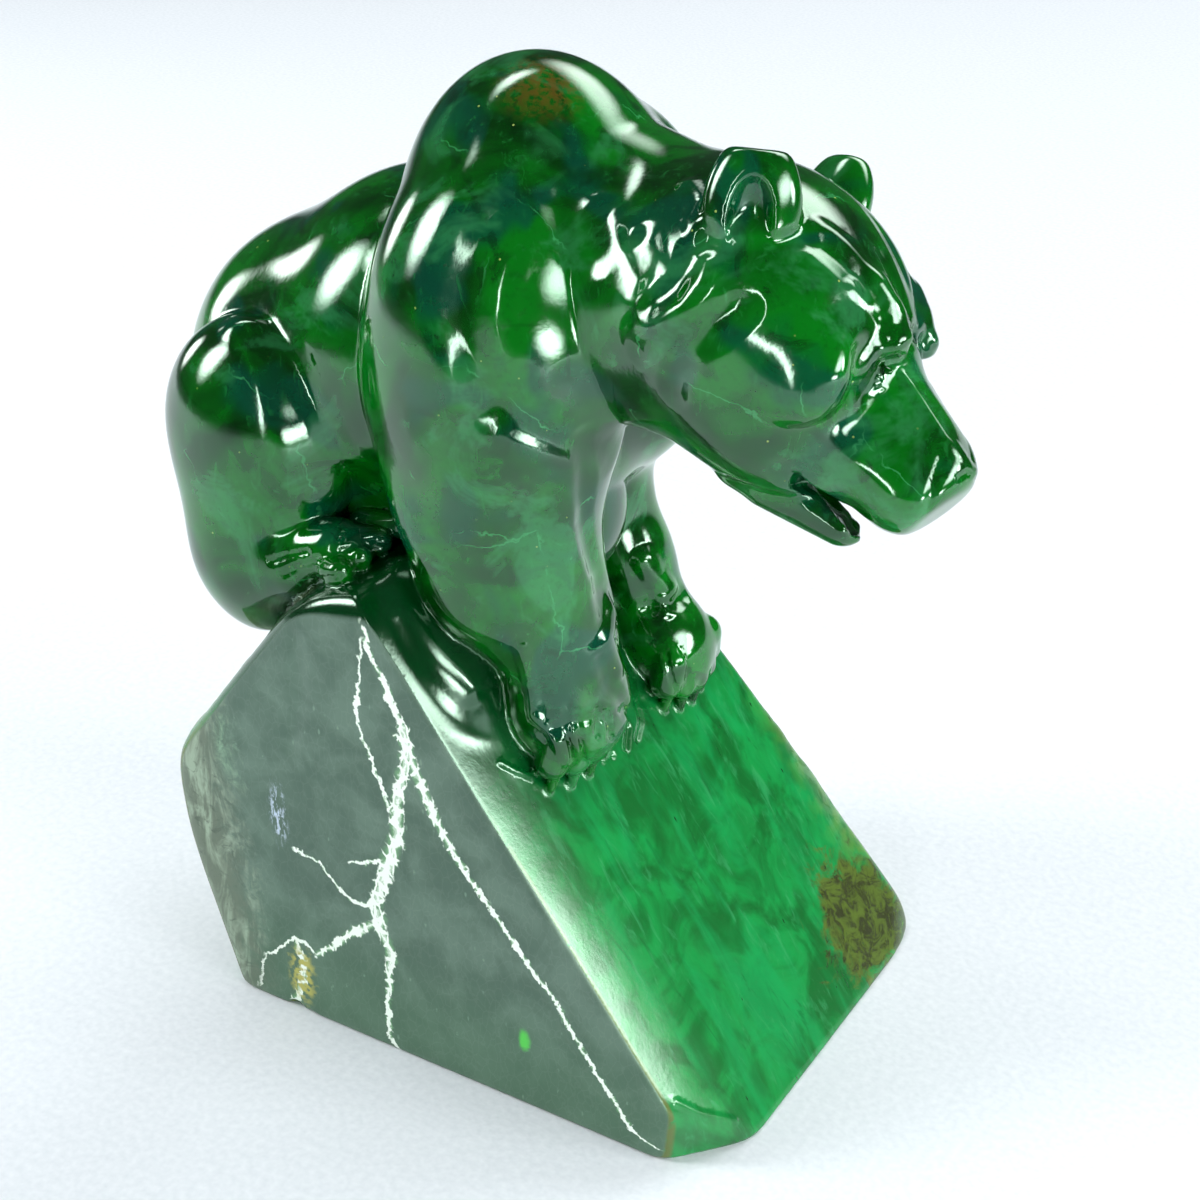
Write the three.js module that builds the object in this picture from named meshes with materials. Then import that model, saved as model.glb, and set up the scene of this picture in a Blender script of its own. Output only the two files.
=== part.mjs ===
// A bear carved from one block of jade, standing over the crest of a sawn wedge of the same stone.
// Millimetres, +Z up. +X runs down the slope, the way the bear looks, and +Y is the bear's left.
// The origin is on the flat underside, under the bear's middle plane and halfway along the ground.
import * as THREE from 'three';

// The wedge of stone
const WEDGE_LENGTH = 105.6;
const CREST_HEIGHT = 99.5;
const SAWN_SIDE = 39.5;
const FAR_SIDE = 45.2;
const TOE_TO_CREST = 72.4;
const CREST_FLAT = 6.3;
const BACK_BULGE = 10.6;
const BACK_BULGE_HEIGHT = 50;
const HEEL_LEAN = 0.3;
const FAR_LEAN = 0.13;
const FAR_UPPER_LEAN = 0.27;
const FAR_UPPER_START = 6.3;
const TOE_CORNER_CUT = 8.7;
const FAR_TOE_CORNER_CUT = 2.9;
const FAR_HEEL_CORNER_CUT = 12.1;
const SAWN_EDGE_ROUND = 4;
const CORNER_ROUND = 5;
const BACK_ROUND = 6;
const CREST_ROUND = 9;
const UNDERSIDE_EDGE_ROUND = 4;

// The bear, whose whole form is a share of its rise above the crest
const BEAR_RISE = 78.5;
const HEAD_SIZE = 1;
const EAR_THICKNESS = 4.2;
const MOUTH_OPENING = 2.2;
const NEAR_PAW_HEIGHT = 10.2;
const FAR_PAW_HEIGHT = 8;

// How finely the form is worked out, and how many flat facets it keeps
const FINEST_STEP = 1.8;
const FACET_COUNT = 9600;
const GROUND_FLAT_WITHIN = 0.15;

const MODELLED_RISE = 78.5;
const MODELLED_CREST = [-19.6, 0, 99.5];
const share = BEAR_RISE / MODELLED_RISE;
const toe = [WEDGE_LENGTH / 2, 0, 0];
const heel = [-WEDGE_LENGTH / 2, 0, 0];
const crest = [toe[0] - TOE_TO_CREST, 0, CREST_HEIGHT];

// Vector sums for plain arrays of three
const add = (a, b, k = 1) => [a[0] + b[0] * k, a[1] + b[1] * k, a[2] + b[2] * k];
const dot = (a, b) => a[0] * b[0] + a[1] * b[1] + a[2] * b[2];
const cross = (a, b) => [
  a[1] * b[2] - a[2] * b[1],
  a[2] * b[0] - a[0] * b[2],
  a[0] * b[1] - a[1] * b[0],
];
const unit = (a) => {
  const length = Math.sqrt(dot(a, a));
  return [a[0] / length, a[1] / length, a[2] / length];
};
const size = (...r) => r.map((v) => v * share);
const UPRIGHT = [[1, 0, 0], [0, 1, 0], [0, 0, 1]];
const combine = (axes, a, b, c) => add(add(add([0, 0, 0], axes[0], a), axes[1], b), axes[2], c);

// A point of the bear, given where it lies at the modelled size, kept with the crest of the wedge
const at = (x, y, z) => add(crest, add([x, y, z], MODELLED_CREST, -1), share);

// Solids as signed distances: negative inside, positive outside
function halfSpace(point, outward) {
  const n = unit(outward);
  const reach = dot(point, n);
  return (x, y, z) => x * n[0] + y * n[1] + z * n[2] - reach;
}

function ellipsoid(centre, radii, axes = UPRIGHT) {
  const [a, b, c] = axes;
  const [ra, rb, rc] = radii;
  return (x, y, z) => {
    const dx = x - centre[0];
    const dy = y - centre[1];
    const dz = z - centre[2];
    const p = (a[0] * dx + a[1] * dy + a[2] * dz) / ra;
    const q = (b[0] * dx + b[1] * dy + b[2] * dz) / rb;
    const s = (c[0] * dx + c[1] * dy + c[2] * dz) / rc;
    const near = Math.sqrt(p * p + q * q + s * s);
    const steep = Math.sqrt((p / ra) ** 2 + (q / rb) ** 2 + (s / rc) ** 2);
    return (near * (near - 1)) / (steep + 1e-9);
  };
}

// A limb with a round end of one radius at its start and of another at its finish
function limb(start, finish, startRadius, finishRadius) {
  const along = add(finish, start, -1);
  const length2 = dot(along, along);
  const taper = startRadius - finishRadius;
  const slant2 = length2 - taper * taper;
  return (x, y, z) => {
    const px = x - start[0];
    const py = y - start[1];
    const pz = z - start[2];
    const run = px * along[0] + py * along[1] + pz * along[2];
    const over = run - length2;
    const ax = px * length2 - along[0] * run;
    const ay = py * length2 - along[1] * run;
    const az = pz * length2 - along[2] * run;
    const away2 = ax * ax + ay * ay + az * az;
    const run2 = run * run * length2;
    const over2 = over * over * length2;
    const turn = Math.sign(taper) * taper * taper * away2;
    if (Math.sign(over) * slant2 * over2 > turn) {
      return Math.sqrt(away2 + over2) / length2 - finishRadius;
    }
    if (Math.sign(run) * slant2 * run2 < turn) {
      return Math.sqrt(away2 + run2) / length2 - startRadius;
    }
    return (Math.sqrt((away2 * slant2) / length2) + run * taper) / length2 - startRadius;
  };
}

// Joins, cuts and overlaps whose edges are eased over a width
function eased(a, b, width) {
  const h = Math.max(width - Math.abs(a - b), 0) / width;
  return Math.min(a, b) - (h * h * h * width) / 6;
}
const join = (width, ...solids) => (x, y, z) => {
  let distance = solids[0](x, y, z);
  for (let i = 1; i < solids.length; i += 1) {
    distance = eased(distance, solids[i](x, y, z), width);
  }
  return distance;
};
const carve = (solid, tool, width) => (x, y, z) => -eased(-solid(x, y, z), tool(x, y, z), width);
const overlap = (width, ...solids) => (x, y, z) => {
  let distance = solids[0](x, y, z);
  for (let i = 1; i < solids.length; i += 1) {
    distance = -eased(-distance, -solids[i](x, y, z), width);
  }
  return distance;
};
const bothSides = (solid) => (x, y, z) => solid(x, Math.abs(y), z);

// The slope: its direction down, the bear's left, and its outward face
const down = unit(add(toe, crest, -1));
const slope = [down, [0, 1, 0], [-down[2], 0, down[0]]];
const onSlope = (fromCrest, left, out) => add(crest, combine(slope, fromCrest, left, out), share);

// The wedge: a polished slope, a sawn side, and a rounded natural back and far side
function buildWedge() {
  const nearToe = [toe[0], -SAWN_SIDE, 0];
  const farToe = [toe[0], FAR_SIDE, 0];
  const farHeel = [heel[0], FAR_SIDE, 0];
  const cornerFace = (corner, outward, depth) => {
    const n = unit(outward);
    return halfSpace(add(corner, n, -depth), n);
  };
  const bulge = [heel[0] - BACK_BULGE, 0, BACK_BULGE_HEIGHT];
  const crestBack = [crest[0] - CREST_FLAT, 0, crest[2]];
  const backSlope = add(crestBack, bulge, -1);
  const slopeFace = halfSpace(crest, slope[2]);
  const sawnFace = halfSpace(nearToe, [0, -1, 0]);
  const farFace = overlap(
    12,
    halfSpace(farToe, [0, 1, FAR_LEAN]),
    halfSpace(add(farToe, [0, FAR_UPPER_START, 0]), [0, 1, FAR_UPPER_LEAN]),
  );
  const backFace = overlap(
    CORNER_ROUND,
    halfSpace(heel, [-1, 0, -HEEL_LEAN]),
    halfSpace(bulge, [-1, 0, 0]),
    halfSpace(bulge, [-backSlope[2], 0, backSlope[0]]),
  );
  const toeCorner = cornerFace(nearToe, [0.74, -0.66, -0.075], TOE_CORNER_CUT);
  const farToeCorner = cornerFace(farToe, [0.86, 0.5, -0.1], FAR_TOE_CORNER_CUT);
  const farHeelCorner = cornerFace(farHeel, [-0.62, 0.78, 0.05], FAR_HEEL_CORNER_CUT);
  const crestFace = halfSpace(crest, [-0.2, -0.12, 1]);
  const underside = halfSpace([0, 0, 0], [0, 0, -1]);
  let wedge = overlap(SAWN_EDGE_ROUND, slopeFace, sawnFace);
  wedge = overlap(CORNER_ROUND, wedge, toeCorner, farFace);
  wedge = overlap(BACK_ROUND, wedge, farToeCorner, backFace);
  wedge = overlap(2 * BACK_ROUND, wedge, farHeelCorner);
  wedge = overlap(CREST_ROUND, wedge, crestFace);
  wedge = overlap(UNDERSIDE_EDGE_ROUND, wedge, underside);
  // a low swelling of the slope beside the near foreleg
  const swelling = ellipsoid(onSlope(19.4, -27, -1.5), size(16, 9, 5), slope);
  return join(6, wedge, swelling);
}

// Body, hump and shoulders
function buildTrunk() {
  const rump = ellipsoid(at(-48, 0, 115), size(27.5, 27, 28));
  const barrel = ellipsoid(at(-27, 0, 126.5), size(28, 27.5, 29));
  const seat = limb(at(-45, 0, 95), at(-10, 0, 98), 17.5 * share, 17.5 * share);
  const hump = ellipsoid(at(-6.5, 0, 150.5), size(22.5, 21.5, 27));
  const shoulder = bothSides(ellipsoid(at(-4.5, 17, 133), size(22.5, 19, 33)));
  const tail = ellipsoid(at(-75.5, 0, 106), size(5.5, 5, 9));
  const withers = join(12 * share, hump, shoulder);
  const body = join(13 * share, rump, barrel, seat);
  return { withers, body: join(3 * share, body, withers, tail) };
}

// A foreleg is a chain of thick limbs from the shoulder to the wrist
function buildForeleg(stations) {
  const chain = [];
  for (let i = 1; i < stations.length; i += 1) {
    const [from, fromRadius] = stations[i - 1];
    const [to, toRadius] = stations[i];
    chain.push(limb(from, to, fromRadius * share, toRadius * share));
  }
  return join(6 * share, ...chain);
}

// A paw lies flat on the slope, with five toes that each end in a claw
function buildPaw(fromCrest, left, out, halfWidth, halfLength, height) {
  const centre = onSlope(fromCrest, left, out);
  let paw = ellipsoid(centre, size(halfLength, halfWidth, height), slope);
  for (let toeNumber = 0; toeNumber < 5; toeNumber += 1) {
    const spread = (toeNumber - 2) / 2;
    const reach = fromCrest + halfLength * 0.82 - 2.4 * spread * spread;
    const knuckleLeft = left + spread * halfWidth * 0.66;
    const knuckle = onSlope(fromCrest + halfLength * 0.3, knuckleLeft, height * 0.72);
    const tip = onSlope(reach, left + spread * halfWidth * 0.8, 3.2);
    const clawRoot = add(tip, slope[2], 1.2 * share);
    const clawTip = onSlope(reach + 4, left + spread * halfWidth * 0.86, 0.6);
    paw = join(1.6 * share, paw, limb(knuckle, tip, 3.5 * share, 3 * share));
    paw = join(0.5 * share, paw, limb(clawRoot, clawTip, 1.7 * share, 0.8 * share));
  }
  return paw;
}

function buildForelegs(withers) {
  const nearLeg = buildForeleg([
    [at(-5, -20, 128), 18],
    [at(-4, -19, 110), 16.5],
    [at(-2, -18, 97.5), 15],
    [onSlope(25, -16, 11.5), 10.5],
    [onSlope(36, -15.5, 8), 9.5],
  ]);
  const farLeg = buildForeleg([
    [at(-8, 20, 124), 16],
    [at(-9.5, 18.5, 97.7), 11],
    [onSlope(26, 19, 3.8), 8.2],
    [onSlope(34.2, 19.2, 2.4), 7.8],
  ]);
  const nearPaw = buildPaw(38.5, -15, 4.8, 12, 12, NEAR_PAW_HEIGHT);
  const farPaw = buildPaw(43, 18.6, 2.6, 9.2, 10.5, FAR_PAW_HEIGHT);
  const chest = ellipsoid(at(-4, 2, 116), size(13, 17, 20));
  const near = join(4 * share, nearLeg, nearPaw);
  const far = join(4 * share, farLeg, farPaw);
  return join(9 * share, withers, join(5 * share, near, far, chest));
}

// Each hind leg: a drawn-up thigh hanging over the back, and a foot gripping the crest
function buildHindLegs() {
  const knee = ellipsoid(at(-48.6, 23.6, 112), size(18.3, 13.4, 21));
  const hock = ellipsoid(at(-50, 24, 94.5), size(13.5, 12.5, 21.5));
  const shin = limb(at(-48, 27, 90), at(-38, 29, 92), 9 * share, 7 * share);
  let foot = limb(at(-44, 29, 91), at(-30, 29, 96.5), 7 * share, 5.5 * share);
  for (let i = 0; i < 4; i += 1) {
    const root = at(-29 + i * 0.6, 22 + i * 3.7, 98 - i * 0.9);
    const tip = at(-22 - i * 1.2, 21.5 + i * 4.2, 99.8 - i * 1.3);
    foot = join(1.2 * share, foot, limb(root, tip, 3 * share, 2.5 * share));
  }
  const thigh = join(8 * share, knee, hock, shin);
  return bothSides(join(2.5 * share, thigh, foot));
}

// The head, turned and tipped: forward along the nose, the bear's left, and up through the crown
const headForward = unit([0.892, -0.114, -0.438]);
const headLeft = unit(add([-0.08, 0.913, -0.401], headForward, -dot([-0.08, 0.913, -0.401], headForward)));
const headAxes = [headForward, headLeft, cross(headForward, headLeft)];
const headShare = share * HEAD_SIZE;
const noseTip = at(74, -8, 129.6);
const onHead = (f, l, u) => add(noseTip, combine(headAxes, f, l, u), headShare);
const headSize = (...r) => r.map((v) => v * headShare);
const headFace = (point, f, l, u) => halfSpace(onHead(...point), combine(headAxes, f, l, u));

// An ear stands along its own axis, with a cupped hollow in the side that it faces
function buildEar(centre, rise, facing, halfWidth, halfHeight) {
  const up = unit(combine(headAxes, ...rise));
  const raw = combine(headAxes, ...facing);
  const out = unit(add(raw, up, -dot(raw, up)));
  const axes = [cross(out, up), out, up];
  const middle = onHead(...centre);
  const shell = ellipsoid(middle, headSize(halfWidth, EAR_THICKNESS, halfHeight), axes);
  const flatTop = halfSpace(add(middle, up, 9 * headShare), up);
  const cupCentre = add(middle, combine(axes, 0, EAR_THICKNESS + 0.2, -1.2), headShare);
  const cup = ellipsoid(cupCentre, headSize(halfWidth * 0.46, 3.6, halfHeight * 0.6), axes);
  return carve(overlap(2 * headShare, shell, flatTop), cup, 1.2 * headShare);
}

// The muzzle: a blunt tapering box with a flat bridge and a square nose
function buildMuzzle() {
  const core = limb(onHead(-24, 0, -4.5), onHead(-6.8, 0, -6.5), 12 * headShare, 9.6 * headShare);
  const bridge = headFace([-18, 0, 9.2], 0.44, 0, 0.9);
  const noseFace = headFace([2.3, 0, 0], 0.976, 0, -0.218);
  const left = headFace([-9, 6.2, 0], 0.14, 0.9, 0.42);
  const right = headFace([-9, -6.2, 0], 0.14, -0.9, 0.42);
  const squared = overlap(1.5 * headShare, core, bridge);
  return overlap(2.5 * headShare, squared, noseFace, left, right);
}

function buildHead() {
  const cranium = ellipsoid(onHead(-41, 0, -2), headSize(25.5, 24, 21.3), headAxes);
  const cheeks = ellipsoid(onHead(-31, 0, -13), headSize(19, 16.5, 12.5), headAxes);
  let head = join(8 * headShare, cranium, cheeks);
  head = join(7 * headShare, head, buildMuzzle());
  for (const side of [-1, 1]) {
    const socket = ellipsoid(onHead(-15.2, side * 10.5, 5.2), headSize(4.2, 3.6, 3), headAxes);
    const browBack = onHead(-27, side * 8.5, 11.6);
    const browFront = onHead(-19, side * 7, 8.2);
    const brow = limb(browBack, browFront, 3 * headShare, 2.4 * headShare);
    const eye = ellipsoid(onHead(-17.2, side * 8.2, 4.4), headSize(1.7, 1.6, 1.5), headAxes);
    const cheek = ellipsoid(onHead(-27, side * 16.5, -3), headSize(9, 5, 8), headAxes);
    head = carve(head, socket, 2.5 * headShare);
    head = join(3 * headShare, head, brow);
    head = join(0.5 * headShare, head, eye);
    head = join(5 * headShare, head, cheek);
  }
  const foreheadGroove = limb(onHead(-34, 0, 21), onHead(-16, 0, 13), 1.2 * headShare, 1.2 * headShare);
  head = carve(head, foreheadGroove, 3 * headShare);
  // the mouth is a narrow wedge of space over a short lower jaw with a hollow in it
  const upperLip = headFace([-16, 0, -17.8 + MOUTH_OPENING], 0.13, 0, 1);
  const lowerLip = headFace([-16, 0, -17.8], 0.05, 0, -1);
  const mouthCorner = headFace([-17.5, 0, 0], -1, 0, 0);
  const mouth = overlap(1 * headShare, overlap(0.5 * headShare, upperLip, lowerLip), mouthCorner);
  head = carve(head, mouth, 1 * headShare);
  const jawBack = onHead(-27, 0, -19.5);
  const jawTip = onHead(-10.5, 0, -18.6);
  const jaw = limb(jawBack, jawTip, 7.5 * headShare, 4.4 * headShare);
  const jawTop = headFace([-16, 0, -17.6], -0.05, 0, 1);
  head = join(1.5 * headShare, head, overlap(1 * headShare, jaw, jawTop));
  const jawHollow = ellipsoid(onHead(-11, 0, -17.2), headSize(6.5, 3, 1.6), headAxes);
  return carve(head, jawHollow, 1 * headShare);
}

function buildNeckAndHead() {
  const neck = limb(at(2, 0, 146), at(32, -3, 143), 24 * share, 21 * share);
  const nearEar = buildEar([-45.4, -18.6, 10.6], [-0.5, -0.1, 0.84], [0.3, -0.93, 0.12], 7.3, 11.2);
  const farEar = buildEar([-46.8, 16.2, 13.9], [-0.42, 0.25, 0.83], [0.42, 0.9, 0], 7, 10);
  const skull = join(7 * share, neck, buildHead());
  return join(1.8 * share, skull, join(share, nearEar, farEar));
}

// The whole carving: the bear and the wedge are one stone, with a narrow fillet where they meet
function buildCarving() {
  const { withers, body } = buildTrunk();
  const forequarters = buildForelegs(withers);
  const bear = join(2.5 * share, body, forequarters, buildHindLegs());
  const whole = join(1.8 * share, bear, buildNeckAndHead());
  return join(3.5 * share, buildWedge(), whole);
}

// Room around the carving for the net that closes over it
function findBounds() {
  const room = 3 * FINEST_STEP;
  const low = [
    Math.min(heel[0] - BACK_BULGE, at(-82, 0, 0)[0]) - room,
    Math.min(-SAWN_SIDE, -42 * share) - room,
    -room,
  ];
  const high = [
    Math.max(toe[0], onHead(4, 0, 0)[0]) + room,
    Math.max(FAR_SIDE, 42 * share) + room,
    at(0, 0, 180)[2] + room,
  ];
  return { low, high };
}

// Closes a net over the surface. A small cube that the surface crosses holds one knot for each
// sheet of it, so two sheets that pass close together stay apart.
function castNet(solid, low, high, step) {
  const count = [0, 1, 2].map((i) => Math.ceil((high[i] - low[i]) / step) + 1);
  const stride = [count[1] * count[2], count[2], 1];
  const index = (p) => p[0] * stride[0] + p[1] * stride[1] + p[2];
  const field = new Float32Array(count[0] * stride[0]);
  for (let i = 0; i < count[0]; i += 1) {
    for (let j = 0; j < count[1]; j += 1) {
      for (let k = 0; k < count[2]; k += 1) {
        field[index([i, j, k])] = solid(low[0] + i * step, low[1] + j * step, low[2] + k * step);
      }
    }
  }
  // each value takes a share of its neighbours', which fills clefts too narrow for the net
  for (const reach of stride) {
    const plain = field.slice();
    for (let i = reach; i < field.length - reach; i += 1) {
      field[i] = (plain[i - reach] + 2 * plain[i] + plain[i + reach]) / 4;
    }
  }
  const corners = [];
  for (let c = 0; c < 8; c += 1) {
    corners.push([c & 1, (c >> 1) & 1, (c >> 2) & 1]);
  }
  // an edge is known by its lower corner and its axis
  const edgeBetween = (a, b) => Math.min(a, b) * 3 + [1, 2, 4].indexOf(a ^ b);
  const rings = [];
  for (let axis = 0; axis < 3; axis += 1) {
    const u = 1 << ((axis + 1) % 3);
    const v = 1 << ((axis + 2) % 3);
    for (const base of [0, 1 << axis]) {
      rings.push([base, base | u, base | u | v, base | v]);
    }
  }
  const points = [];
  const knotsOf = new Map();
  const tieCube = (place) => {
    const start = index(place);
    const value = corners.map((c) => field[start + dot(c, stride)]);
    const inside = value.filter((v) => v < 0).length;
    if (inside === 0 || inside === 8) {
      return;
    }
    const sheet = Array.from({ length: 24 }, (_, i) => i);
    const unite = (a, b) => {
      const from = sheet[a];
      sheet.forEach((root, i) => {
        if (root === from) {
          sheet[i] = sheet[b];
        }
      });
    };
    for (const ring of rings) {
      const edges = ring.map((c, i) => edgeBetween(c, ring[(i + 1) % 4]));
      const crossed = edges.filter((_, i) => value[ring[i]] < 0 !== value[ring[(i + 1) % 4]] < 0);
      if (crossed.length === 2) {
        unite(crossed[0], crossed[1]);
      }
      if (crossed.length === 4) {
        const middleInside = ring.reduce((sum, c) => sum + value[c], 0) < 0;
        ring.forEach((c, i) => {
          if (value[c] < 0 !== middleInside) {
            unite(edges[i], edges[(i + 3) % 4]);
          }
        });
      }
    }
    const knots = new Int32Array(24).fill(-1);
    const sums = new Map();
    for (let a = 0; a < 8; a += 1) {
      for (let axis = 0; axis < 3; axis += 1) {
        const b = a | (1 << axis);
        if (b !== a && value[a] < 0 !== value[b] < 0) {
          const root = sheet[a * 3 + axis];
          if (!sums.has(root)) {
            sums.set(root, { total: [0, 0, 0], crossings: 0, knot: points.length });
            points.push(null);
          }
          const tally = sums.get(root);
          const t = value[a] / (value[a] - value[b]);
          const crossing = add(corners[a], add(corners[b], corners[a], -1), t);
          tally.total = add(tally.total, crossing);
          tally.crossings += 1;
          knots[a * 3 + axis] = tally.knot;
        }
      }
    }
    for (const { total, crossings, knot } of sums.values()) {
      points[knot] = add(add(low, place, step), total, step / crossings);
    }
    knotsOf.set(start, knots);
  };
  for (let i = 0; i < count[0] - 1; i += 1) {
    for (let j = 0; j < count[1] - 1; j += 1) {
      for (let k = 0; k < count[2] - 1; k += 1) {
        tieCube([i, j, k]);
      }
    }
  }
  const faces = [];
  const span2 = (a, b) => {
    const d = add(points[a], points[b], -1);
    return dot(d, d);
  };
  const closeMesh = (ring) => {
    const shift = span2(ring[0], ring[2]) < span2(ring[1], ring[3]) ? 0 : 1;
    const [a, b, c, d] = [0, 1, 2, 3].map((i) => ring[(i + shift) % 4]);
    faces.push([a, b, c], [a, c, d]);
  };
  for (const start of knotsOf.keys()) {
    for (let axis = 0; axis < 3; axis += 1) {
      const inside = field[start] < 0;
      if (inside !== field[start + stride[axis]] < 0) {
        const u = (axis + 1) % 3;
        const v = (axis + 2) % 3;
        const ring = [[1, 1], [0, 1], [0, 0], [1, 0]].map(([du, dv]) => {
          const cube = knotsOf.get(start - du * stride[u] - dv * stride[v]);
          return cube[((du << u) | (dv << v)) * 3 + axis];
        });
        closeMesh(inside ? ring : ring.reverse());
      }
    }
  }
  return { points, faces };
}

// Keeps the largest closed shell, so a crumb or bubble smaller than the net can follow is stone
function outerShell(points, faces) {
  const root = points.map((_, i) => i);
  const find = (i) => {
    let top = i;
    while (root[top] !== top) {
      root[top] = root[root[top]];
      top = root[top];
    }
    return top;
  };
  for (const [a, b, c] of faces) {
    root[find(a)] = find(b);
    root[find(b)] = find(c);
  }
  const shells = new Map();
  for (const face of faces) {
    const shell = find(face[0]);
    if (!shells.has(shell)) {
      shells.set(shell, []);
    }
    shells.get(shell).push(face);
  }
  return [...shells.values()].reduce((best, shell) => (shell.length > best.length ? shell : best));
}

// Draws each knot of the net onto the true surface
function settle(solid, points, limit) {
  const probe = 0.05;
  for (let round = 0; round < 3; round += 1) {
    for (const p of points) {
      const distance = solid(...p);
      const gradient = [
        solid(p[0] + probe, p[1], p[2]) - solid(p[0] - probe, p[1], p[2]),
        solid(p[0], p[1] + probe, p[2]) - solid(p[0], p[1] - probe, p[2]),
        solid(p[0], p[1], p[2] + probe) - solid(p[0], p[1], p[2] - probe),
      ];
      const steep2 = dot(gradient, gradient) / (4 * probe * probe);
      const move = Math.max(-limit, Math.min(limit, distance)) / Math.max(steep2, 0.25);
      for (let i = 0; i < 3; i += 1) {
        p[i] -= (gradient[i] / (2 * probe)) * move;
      }
    }
  }
}

// The squared distance of a point from the planes of many facets, kept as ten sums
function addPlane(sums, n, d, weight) {
  const q = [n[0], n[1], n[2], d];
  let slot = 0;
  for (let i = 0; i < 4; i += 1) {
    for (let j = i; j < 4; j += 1) {
      sums[slot] += q[i] * q[j] * weight;
      slot += 1;
    }
  }
}
function misfit(s, p) {
  const [x, y, z] = p;
  return s[0] * x * x + 2 * s[1] * x * y + 2 * s[2] * x * z + 2 * s[3] * x
    + s[4] * y * y + 2 * s[5] * y * z + 2 * s[6] * y + s[7] * z * z + 2 * s[8] * z + s[9];
}
function bestPoint(s, fallback) {
  const [xx, xy, xz, xw, yy, yz, yw, zz, zw] = s;
  const c0 = yy * zz - yz * yz;
  const c1 = xz * yz - xy * zz;
  const c2 = xy * yz - xz * yy;
  const det = xx * c0 + xy * c1 + xz * c2;
  if (Math.abs(det) < 1e-12) {
    return fallback;
  }
  return [
    -(c0 * xw + c1 * yw + c2 * zw) / det,
    -(c1 * xw + (xx * zz - xz * xz) * yw + (xy * xz - xx * yz) * zw) / det,
    -(c2 * xw + (xy * xz - xx * yz) * yw + (xx * yy - xy * xy) * zw) / det,
  ];
}

// A queue that always gives the edge whose loss changes the form least
class Queue {
  constructor() {
    this.items = [];
  }

  push(item) {
    const { items } = this;
    let i = items.length;
    items.push(item);
    while (i > 0) {
      const parent = (i - 1) >> 1;
      if (items[parent].cost <= item.cost) {
        break;
      }
      items[i] = items[parent];
      i = parent;
    }
    items[i] = item;
  }

  pop() {
    const { items } = this;
    const first = items[0];
    const last = items.pop();
    if (items.length > 0) {
      let i = 0;
      for (;;) {
        let child = 2 * i + 1;
        if (child >= items.length) {
          break;
        }
        if (child + 1 < items.length && items[child + 1].cost < items[child].cost) {
          child += 1;
        }
        if (items[child].cost >= last.cost) {
          break;
        }
        items[i] = items[child];
        i = child;
      }
      items[i] = last;
    }
    return first;
  }
}

// Draws the shortest-changing edges of the net together until only the wanted facets are left
function thinOut(points, faces, wanted) {
  const STAY_PUT = 0.002;
  const facetsOf = points.map(() => new Set());
  const sums = points.map(() => new Float64Array(10));
  const stamp = new Int32Array(points.length);
  const normalOf = (f, moved, place) => {
    const [a, b, c] = f.map((v) => (v === moved ? place : points[v]));
    return cross(add(b, a, -1), add(c, a, -1));
  };
  faces.forEach((f, i) => {
    const n = normalOf(f, -1, null);
    const area = Math.sqrt(dot(n, n)) / 2;
    const flat = unit(n);
    for (const v of f) {
      facetsOf[v].add(i);
      addPlane(sums[v], flat, -dot(flat, points[f[0]]), area);
      UPRIGHT.forEach((axis, k) => addPlane(sums[v], axis, -points[v][k], area * STAY_PUT));
    }
  });
  const queue = new Queue();
  const consider = (u, v) => {
    const both = sums[u].map((value, k) => value + sums[v][k]);
    const middle = add(points[u], add(points[v], points[u], -1), 0.5);
    const place = bestPoint(both, middle);
    queue.push({ cost: misfit(both, place), u, v, place, both, mark: stamp[u] + stamp[v] });
  };
  const ringOf = (v) => {
    const ring = new Set();
    for (const i of facetsOf[v]) {
      faces[i].forEach((w) => ring.add(w));
    }
    ring.delete(v);
    return ring;
  };
  points.forEach((_, u) => {
    for (const v of ringOf(u)) {
      if (v > u) {
        consider(u, v);
      }
    }
  });
  const foldsOver = (moved, other, place) => {
    for (const i of facetsOf[moved]) {
      if (!faces[i].includes(other)) {
        const before = normalOf(faces[i], -1, null);
        const after = normalOf(faces[i], moved, place);
        const match = dot(before, after);
        const reach = Math.sqrt(dot(before, before) * dot(after, after));
        if (match < 0.35 * reach || reach < 1e-9) {
          return true;
        }
      }
    }
    return false;
  };
  let left = faces.length;
  while (left > wanted) {
    const { u, v, place, both, mark } = queue.pop();
    const stale = facetsOf[u].size === 0 || facetsOf[v].size === 0 || mark !== stamp[u] + stamp[v];
    if (stale) {
      continue;
    }
    const ringU = ringOf(u);
    const shared = [...ringOf(v)].filter((w) => ringU.has(w));
    if (!ringU.has(v) || shared.length !== 2 || foldsOver(u, v, place) || foldsOver(v, u, place)) {
      continue;
    }
    for (const i of facetsOf[v]) {
      if (faces[i].includes(u)) {
        faces[i].forEach((w) => w !== v && facetsOf[w].delete(i));
        faces[i] = null;
        left -= 1;
      } else {
        faces[i] = faces[i].map((w) => (w === v ? u : w));
        facetsOf[u].add(i);
      }
    }
    facetsOf[v].clear();
    points[u] = place;
    sums[u] = both;
    stamp[u] += 1;
    stamp[v] += 1;
    for (const w of ringOf(u)) {
      consider(u, w);
    }
  }
  return faces.filter((f) => f !== null);
}

function toGeometry(points, faces) {
  const used = [...new Set(faces.flat())];
  const renumber = new Map(used.map((v, i) => [v, i]));
  const geometry = new THREE.BufferGeometry();
  const positions = new Float32Array(used.flatMap((v) => points[v]));
  geometry.setAttribute('position', new THREE.BufferAttribute(positions, 3));
  geometry.setIndex(faces.flat().map((v) => renumber.get(v)));
  geometry.computeVertexNormals();
  return geometry;
}

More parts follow.
